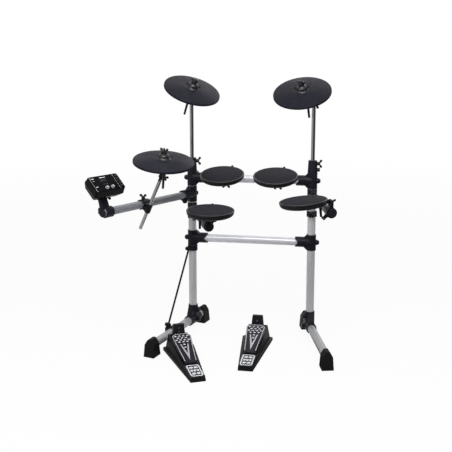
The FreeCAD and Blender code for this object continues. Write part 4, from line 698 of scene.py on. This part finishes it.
@dataclass
class PedalTrim:
    """Border lines, grip dots, wedge and heel plate on one pedal."""

    kind: PedalKind
    library: Library
    slope: float = 13.6
    board_length: float = 212.0 * MM
    waist: float = 52.0 * MM
    toe: float = 86.0 * MM
    corner: float = 16.0 * MM
    top: float = 6.5 * MM
    line_inset: float = 1.2 * MM
    line_width: float = 3.6 * MM
    line_depth: float = 0.9 * MM
    line_start: float = 8.0 * MM
    line_round: float = 0.3 * MM
    sink: float = 0.3 * MM
    dot_radius: float = 5.2 * MM
    dot_stretch: Point = (1.1, 0.85)
    dot_segments: int = 20
    dot_rings: int = 10
    dot_height: float = 1.7 * MM
    dot_pitch: float = 18.5 * MM
    row_pitch: float = 15.0 * MM
    row_start: float = 194.0 * MM
    rows: tuple[int, ...] = (4, 3, 4, 3)
    tail_start: float = 129.0 * MM
    tail_pitch: float = 22.0 * MM
    tail_dots: int = 2
    wedge_tip: float = 12.0 * MM
    wedge_end: float = 132.0 * MM
    wedge_half: float = 19.0 * MM
    wedge_bar: float = 5.5 * MM
    wedge_notch: float = 62.0 * MM
    hinge_place: float = 130.0 * MM
    hinge_height: float = 30.0 * MM
    heel_length: float = 119.0 * MM
    heel_height: float = 23.0 * MM
    heel_slope: float = 5.0 * MM
    plate_start: float = 7.0 * MM
    plate_end: float = 113.0 * MM
    plate_width: float = 55.0 * MM
    plate_corner: float = 7.0 * MM
    heel_line: float = 6.0 * MM
    tread_shares: tuple[tuple[float, int], ...] = ((0.24, 2), (0.5, 3), (0.76, 2))
    tread_depth: float = 17.0 * MM
    tread_spread: float = 0.72
    bar_share: float = 0.8
    bar_cut: float = 0.25
    bar_round: float = 0.25 * MM
    tower_front: float = 359.0 * MM
    tower_foot: float = 67.0 * MM
    tower_top: float = 118.0 * MM
    tower_lean: float = 9.0 * MM
    screw_radius: float = 4.2 * MM
    screw_height: float = 2.2 * MM

    def hinge(self) -> tuple[Vector, Matrix]:
        """Gives the hinge's place, and a level turn with X along the hinge and Y to the toe."""
        joint = joint_named(self.kind.label + "_pedal_press")
        return Vector(joint["pos_m"]), basis(rightward(joint), Vector((0, 0, 1)))

    def board_place(self) -> Matrix:
        """Gives the footboard's own frame: X across, Y to the toe, Z out of its face."""
        place, level = self.hinge()
        turn = level @ Matrix.Rotation(math.radians(self.slope), 3, "X")
        return Matrix.Translation(place) @ turn.to_4x4()

    def half_outline(self, inset: float) -> list[Point]:
        """Gives the right half of the board's edge from hinge to toe, drawn in by an inset."""
        run = self.board_length - self.corner
        toe = self.toe / 2 - inset
        waist = self.waist / 2 - inset
        near = waist + (toe - waist) * self.line_start / run
        end = self.board_length - inset
        cut = self.corner - inset * (2 - math.sqrt(2))
        return [(near, self.line_start), (toe, end - cut), (toe - cut, end)]

    def board_line(self) -> bpy.types.Object:
        """Models the line along the board's sides and toe, open towards the hinge."""
        outer = self.half_outline(self.line_inset)
        inner = self.half_outline(self.line_inset + self.line_width)
        outline = outer + [(-x, y) for x, y in reversed(outer)] + [(-x, y) for x, y in inner] + inner[::-1]
        line = plate(self.kind.label + "_board_line", outline, self.line_depth)
        return self.lifted(softened(line, self.line_round))

    def dots(self) -> bpy.types.Object:
        """Models one low rounded stud and copies it over the board's rows."""
        clear_selection()
        bpy.ops.mesh.primitive_uv_sphere_add(segments=self.dot_segments, ring_count=self.dot_rings,
                                             radius=self.dot_radius)
        first = bpy.context.object
        bpy.ops.object.mode_set(mode="EDIT")
        bpy.ops.mesh.select_all(action="SELECT")
        bpy.ops.transform.resize(value=(*self.dot_stretch, self.dot_height / self.dot_radius))
        bpy.ops.mesh.bisect(plane_co=(0, 0, 0), plane_no=(0, 0, 1), clear_inner=True, use_fill=True)
        close_mesh()
        places = []
        for i, count in enumerate(self.rows):
            places += dot_row(self.row_start - i * self.row_pitch, count, self.dot_pitch)
        places += [(0.0, self.tail_start - i * self.tail_pitch) for i in range(self.tail_dots)]
        studs = [copied(first, Vector((x, y, self.top - self.sink))) for x, y in places]
        bpy.data.objects.remove(first)
        return smoothed(joined(self.kind.label + "_grip_studs", studs), ROUND_ANGLE)

    def wedge(self) -> bpy.types.Object:
        """Models the slim tapered inlay between the studs and the hinge."""
        half, far = self.wedge_half, self.wedge_end
        outline = [(0.0, self.wedge_tip), (half, far), (half - self.wedge_bar, far), (0.0, self.wedge_notch),
                   (self.wedge_bar - half, far), (-half, far)]
        piece = plate(self.kind.label + "_wedge_inlay", outline, self.line_depth)
        return self.lifted(softened(piece, self.line_round))

    def lifted(self, piece: bpy.types.Object) -> bpy.types.Object:
        """Sets a flat piece a little into the board's top face."""
        return settled(piece, Matrix.Translation((0, 0, self.top - self.sink)))

    def base_place(self) -> Matrix:
        """Gives the pedal base's own frame: the heel's end on X, Y to the toe, the floor at 0."""
        place, turn = self.hinge()
        heel = place - turn @ Vector((0.0, self.hinge_place, self.hinge_height))
        return Matrix.Translation(heel) @ turn.to_4x4()

    def heel_place(self) -> Matrix:
        """Gives a frame on the heel's sloped top face."""
        lean = math.atan2(self.heel_slope, self.heel_length)
        return Matrix.Translation((0, 0, self.heel_height - self.sink)) @ Matrix.Rotation(lean, 4, "X")

    def heel_plate(self) -> list[bpy.types.Object]:
        """Models the heel plate's border and its rows of tread bars."""
        near, far = self.plate_start, self.plate_end
        half = self.plate_width / 2
        cut = self.plate_corner
        outline = [(-half + cut, near), (half - cut, near), (half, near + 2 * cut), (half, far - cut),
                   (half - cut, far), (-half + cut, far), (-half, far - cut), (-half, near + 2 * cut)]
        line = softened(border("heel_line", outline, self.heel_line, self.line_depth), self.line_round)
        pieces = [line]
        for share, count in self.tread_shares:
            y = near + (far - near) * share
            wide = self.plate_width * self.tread_spread / count
            for x, _ in dot_row(0.0, count, wide):
                bar = self.tread_bar(wide * self.bar_share)
                pieces.append(settled(bar, Matrix.Translation((x, y, 0.0))))
        return pieces

    def tread_bar(self, width: float) -> bpy.types.Object:
        """Models one tread bar with two cut corners, centred on the origin."""
        x, y = width / 2, self.tread_depth / 2
        cut = width * self.bar_cut
        outline = [(-x, -y), (x - cut, -y), (x, cut - y), (x, y), (cut - x, y), (-x, y - cut)]
        return softened(plate("tread_bar", outline, self.line_depth), self.bar_round)

    def screws(self) -> bpy.types.Object:
        """Models the socket screws on the front of the sensor tower."""
        lean = math.atan2(self.tower_lean, self.tower_top - self.tower_foot)
        heads = []
        for i in range(self.kind.screws):
            share = (i + 1) / (self.kind.screws + 1)
            height = self.tower_foot + (self.tower_top - self.tower_foot) * share
            depth = self.tower_front + self.tower_lean * share
            turn = Matrix.Rotation(math.radians(90) - lean, 4, "X")
            heads.append(settled(socket_screw(self.screw_radius, self.screw_height),
                                 Matrix.Translation((0.0, depth, height)) @ turn))
        return joined(self.kind.label + "_tower_screws", heads)

    def dress(self) -> None:
        """Builds the trim and hangs it on its footboard and base."""
        label = self.kind.label
        board = [(self.board_line(), TRIM_SILVER), (self.dots(), GRIP_WHITE), (self.wedge(), TRIM_SILVER)]
        heel = settled(joined(label + "_heel_plate", self.heel_plate()), self.heel_place())
        base = [(heel, PRINT_PALE), (self.screws(), SCREW_STEEL)]
        for pieces, place, body in ((board, self.board_place(), label + "_board"),
                                    (base, self.base_place(), "stand")):
            for piece, finish in pieces:
                settled(piece, place)
                self.library.dress(piece, finish)
                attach(piece, body)
        log.info("trim on the %s pedal", label)


@dataclass
class ModuleTrim:
    """Inlaid stripes, display digits, lamps and pale marks on the sound module's panel."""

    library: Library
    stripe_places: Point = (-75.0 * MM, 54.0 * MM)
    stripe_width: float = 1.5 * MM
    digit_height: float = 11.0 * MM
    digit_width: float = 6.4 * MM
    digit_pitch: float = 9.6 * MM
    segment: float = 1.1 * MM
    print_depth: float = 0.25 * MM
    digits: tuple[str, ...] = ("0", "2", "4")
    lamp_radius: float = 1.3 * MM
    lamp_pitch: float = 8.5 * MM
    lamp_count: int = 4
    lamp_flat: float = 0.6
    lamp_steps: int = 5
    lamp_sides: int = 16
    bar_round: float = 0.15
    lamp_place: Point = (-12.0 * MM, -6.0 * MM)
    marks: tuple[tuple[float, float, float, float], ...] = (
        (-61.0, 27.5, 14.0, 4.6), (-8.0, 29.0, 33.0, 4.4), (-63.5, -15.0, 11.0, 4.6), (-61.0, 16.0, 8.0, 3.0))

    def place(self) -> tuple[Matrix, Vector]:
        """Gives the panel's own frame at the middle of its top face, and its half sizes."""
        face = max(frame["nodes"]["module_panel"].data.polygons, key=lambda f: f.area).normal
        turn = basis(rightward(joint_named("module_tilt")), face if face.z > 0 else -face)
        low, high = seat_of("module_panel", turn)
        middle = (low + high) / 2
        return placed(turn, Vector((middle.x, middle.y, high.z))), (high - low) / 2

    def bar(self, name: str, centre: Point, size: Point, rise: float) -> bpy.types.Object:
        """Models one thin bar with softened edges, its foot a little under the face."""
        x, y = size[0] / 2, size[1] / 2
        piece = plate(name, [(-x, -y), (x, -y), (x, y), (-x, y)], rise + self.print_depth)
        softened(piece, min(size) * self.bar_round)
        return settled(piece, Matrix.Translation((*centre, -self.print_depth)))

    def stripes(self, half: Vector) -> bpy.types.Object:
        """Models the two inlaid stripes that run from the panel's back to its front."""
        length = 2 * half.y - 2 * self.stripe_width
        strips = [self.bar("stripe", (x, 0.0), (self.stripe_width, length), self.print_depth)
                  for x in self.stripe_places]
        return joined("module_stripes", strips)

    def digit(self, text: str, across: float, along: float) -> list[bpy.types.Object]:
        """Models the lit bars of one seven-bar digit."""
        w, h, t = self.digit_width, self.digit_height, self.segment
        bars = {"a": ((0, h / 2), (w, t)), "g": ((0, 0), (w, t)), "d": ((0, -h / 2), (w, t)),
                "f": ((-w / 2, h / 4), (t, h / 2)), "b": ((w / 2, h / 4), (t, h / 2)),
                "e": ((-w / 2, -h / 4), (t, h / 2)), "c": ((w / 2, -h / 4), (t, h / 2))}
        lit = {"0": "abcdef", "2": "abged", "4": "fgbc"}[text]
        return [self.bar("digit_bar", (across + bars[k][0][0], along + bars[k][0][1]),
                         (bars[k][1][0] - t / 2, bars[k][1][1] - t / 2), 0.0) for k in lit]

    def display(self, turn: Matrix) -> bpy.types.Object:
        """Models the digits on the display window."""
        low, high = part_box("module_display")
        centre = turn.inverted() @ ((low + high) / 2)
        first = -(len(self.digits) - 1) * self.digit_pitch / 2
        bars = []
        for i, text in enumerate(self.digits):
            bars += self.digit(text, centre.x + first + i * self.digit_pitch, centre.y)
        return joined("display_digits", bars)

    def lamp(self, centre: Point) -> bpy.types.Object:
        """Models one small domed lamp."""
        r = self.lamp_radius
        profile = [(0.0, -self.print_depth), (r, -self.print_depth)]
        profile += arc_points((0.0, 0.0), r, 0, 90, self.lamp_steps)
        piece = lathe("panel_lamp", [(a, b * self.lamp_flat) for a, b in profile], self.lamp_sides)
        return settled(smoothed(piece, ROUND_ANGLE), Matrix.Translation((*centre, 0.0)))

    def dress(self) -> None:
        """Builds the trim and hangs it on the module."""
        place, half = self.place()
        lamps = [self.lamp((x + self.lamp_place[0], self.lamp_place[1]))
                 for x, _ in dot_row(0.0, self.lamp_count, self.lamp_pitch)]
        marks = [self.bar("mark", (x * MM, y * MM), (w * MM, d * MM), 0.0) for x, y, w, d in self.marks]
        pieces = [(self.stripes(half), TRIM_SILVER), (self.display(place), DIGIT_GLOW),
                  (joined("panel_lamps", lamps), LAMP_PALE), (joined("panel_marks", marks), PRINT_PALE)]
        for piece, finish in pieces:
            settled(piece, place)
            self.library.dress(piece, finish)
            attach(piece, "sound_module")
        log.info("trim on the sound module")


@dataclass
class Studio:
    """Camera at the photograph's place, pale floor and soft light."""

    image: float = 452.0
    focal: float = 749.5
    axis_row: float = 189.884
    sensor: float = 36.0
    eye: tuple[float, float, float] = (0.511484, -3.437332, 1.299349)
    yaw: float = 0.182
    pitch: float = 0.172
    floor_size: float = 160.0
    floor_near: float = 1.6
    floor_far: float = 7.0
    floor_white: float = 0.93
    floor_grey: float = 0.72
    floor_roughness: float = 0.9
    ambient_low: float = 0.28
    ambient_high: float = 0.46
    room_dark: float = 0.07
    room_light: float = 0.62
    room_sides: Point = (-0.5, 0.25)
    room_top: Point = (0.15, 0.75)
    room_back: Point = (0.35, 0.75)
    aim_height: float = 0.6
    lamps: list[tuple[str, Point, float, float, float]] = field(default_factory=lambda: [
        ("key_light", (0.5, -2.8), 3.8, 1.8, 118.0),
        ("left_light", (-0.9, -1.9), 1.9, 0.9, 17.0),
        ("right_light", (2.8, -2.6), 2.4, 2.0, 22.0),
        ("rear_light", (0.4, 2.6), 3.0, 2.4, 22.0),
    ])

    def origin(self) -> Vector:
        """Gives the point on the floor midway between the uprights."""
        boxes = [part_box(n) for n in ("left_upright_tube", "right_upright_tube")]
        centres = [(low + high) / 2 for low, high in boxes]
        middle = (centres[0] + centres[1]) / 2
        return Vector((middle.x, middle.y, 0.0))

    def camera(self) -> None:
        """Adds the camera with the photograph's lens and shift."""
        data = bpy.data.cameras.new("photo_camera")
        data.sensor_width = self.sensor
        data.lens = self.focal * self.sensor / self.image
        data.shift_y = (self.axis_row - self.image / 2) / self.image
        camera = bpy.data.objects.new("photo_camera", data)
        bpy.context.scene.collection.objects.link(camera)
        ahead = Vector((-math.sin(self.yaw) * math.cos(self.pitch), math.cos(self.yaw) * math.cos(self.pitch),
                        -math.sin(self.pitch)))
        camera.location = self.origin() + Vector(self.eye)
        camera.rotation_euler = ahead.to_track_quat("-Z", "Y").to_euler()
        bpy.context.scene.camera = camera

    def seen(self, nodes: Tree, names: Sequence[str]) -> bpy.types.NodeSocket:
        """Gives a factor of 1 for rays of the named kinds."""
        path = nodes.add("ShaderNodeLightPath")
        total = path.outputs[names[0]]
        for name in names[1:]:
            either = nodes.add("ShaderNodeMath", operation="MAXIMUM")
            nodes.link(total, either.inputs[0])
            nodes.link(path.outputs[name], either.inputs[1])
            total = either.outputs[0]
        return total

    def room(self, nodes: Tree, way: bpy.types.NodeSocket) -> bpy.types.NodeSocket:
        """Gives the studio's brightness in a direction: white behind and overhead, dim to the right."""
        parts = nodes.add("ShaderNodeSeparateXYZ")
        nodes.link(way, parts.inputs["Vector"])
        total = nodes.span(parts.outputs["X"], self.room_light, self.room_dark, *self.room_sides)
        for axis, fade in (("Z", self.room_top), ("Y", self.room_back)):
            part = nodes.span(parts.outputs[axis], 0.0, 1.0, *fade)
            either = nodes.add("ShaderNodeMath", operation="MAXIMUM")
            nodes.link(total, either.inputs[0])
            nodes.link(part, either.inputs[1])
            total = either.outputs[0]
        return total

    def world(self) -> None:
        world = bpy.data.worlds.new("white_surround")
        world.use_nodes = True
        bpy.context.scene.world = world
        nodes = Tree(world.node_tree)
        way = nodes.add("ShaderNodeTexCoord").outputs["Generated"]
        level = nodes.add("ShaderNodeSeparateXYZ")
        nodes.link(way, level.inputs["Vector"])
        soft = nodes.tree.nodes["Background"]
        glow = nodes.span(level.outputs["Z"], self.ambient_low, self.ambient_high)
        nodes.link(glow, soft.inputs["Strength"])
        room = nodes.add("ShaderNodeBackground")
        nodes.link(self.room(nodes, way), room.inputs["Strength"])
        white = nodes.add("ShaderNodeBackground")
        for light in (soft, room, white):
            light.inputs["Color"].default_value = (1.0, 1.0, 1.0, 1.0)
        glossy = nodes.mixed(self.seen(nodes, ("Is Glossy Ray",)), soft.outputs[0], room.outputs[0])
        direct = self.seen(nodes, ("Is Camera Ray", "Is Transmission Ray"))
        last = nodes.mixed(direct, glossy, white.outputs[0])
        nodes.link(last, nodes.tree.nodes["World Output"].inputs["Surface"])

    def floor(self) -> None:
        """Adds a pale floor that keeps a faint shadow and turns white far away."""
        clear_selection()
        bpy.ops.mesh.primitive_plane_add(size=self.floor_size)
        floor = bpy.context.object
        floor.name = "studio_floor"
        nodes = Nodes("pale_floor")
        grey = self.floor_grey
        nodes.shader.inputs["Roughness"].default_value = self.floor_roughness
        nodes.shader.inputs["Base Color"].default_value = (grey, grey, grey, 1.0)
        nodes.shader.inputs["Specular IOR Level"].default_value = 0.0
        white = nodes.add("ShaderNodeEmission")
        reach = nodes.add("ShaderNodeVectorMath", operation="LENGTH")
        nodes.link(nodes.place, reach.inputs[0])
        share = nodes.span(reach.outputs["Value"], self.floor_white, 1.0, self.floor_near, self.floor_far)
        both = nodes.add("ShaderNodeMath", operation="MULTIPLY")
        nodes.link(self.seen(nodes, ("Is Camera Ray", "Is Transmission Ray")), both.inputs[0])
        nodes.link(share, both.inputs[1])
        plain = nodes.mixed(both.outputs[0], nodes.shader.outputs["BSDF"], white.outputs["Emission"])
        way = nodes.add("ShaderNodeVectorMath", operation="NORMALIZE")
        nodes.link(nodes.place, way.inputs[0])
        room = nodes.add("ShaderNodeEmission")
        nodes.link(self.room(nodes, way.outputs["Vector"]), room.inputs["Strength"])
        last = nodes.mixed(self.seen(nodes, ("Is Glossy Ray",)), plain, room.outputs["Emission"])
        nodes.link(last, nodes.tree.nodes["Material Output"].inputs["Surface"])
        floor.data.materials.append(nodes.material)

    def lights(self) -> None:
        target = self.origin() + Vector((0.0, 0.0, self.aim_height))
        for name, (x, y), height, size, power in self.lamps:
            data = bpy.data.lights.new(name, "AREA")
            data.size = size
            data.energy = power
            lamp = bpy.data.objects.new(name, data)
            bpy.context.scene.collection.objects.link(lamp)
            lamp.location = self.origin() + Vector((x, y, height))
            lamp.rotation_euler = (target - lamp.location).to_track_quat("-Z", "Y").to_euler()

    def build(self) -> None:
        """Sets up the whole studio."""
        bpy.context.scene.view_settings.view_transform = "Standard"
        self.camera()
        self.world()
        self.floor()
        self.lights()


def dress_nodes(library: Library) -> None:
    """Gives every CAD node its finish."""
    for finish, names in NODE_FINISHES.items():
        for name in names:
            library.dress(frame["nodes"][name], finish)


def main() -> None:
    logging.basicConfig(level=logging.INFO)
    library = Library()
    dress_nodes(library)
    for name in ("left_tom", "right_tom", "snare", "floor_tom"):
        PadHead(name, library).dress()
    for name in ("crash", "ride", "hihat"):
        CymbalSkin(name, library).dress()
        CymbalStand(name, library).dress()
    for kind in PedalKind:
        PedalTrim(kind, library).dress()
    ModuleTrim(library).dress()
    Studio().build()


if __name__ == "__main__":
    main()
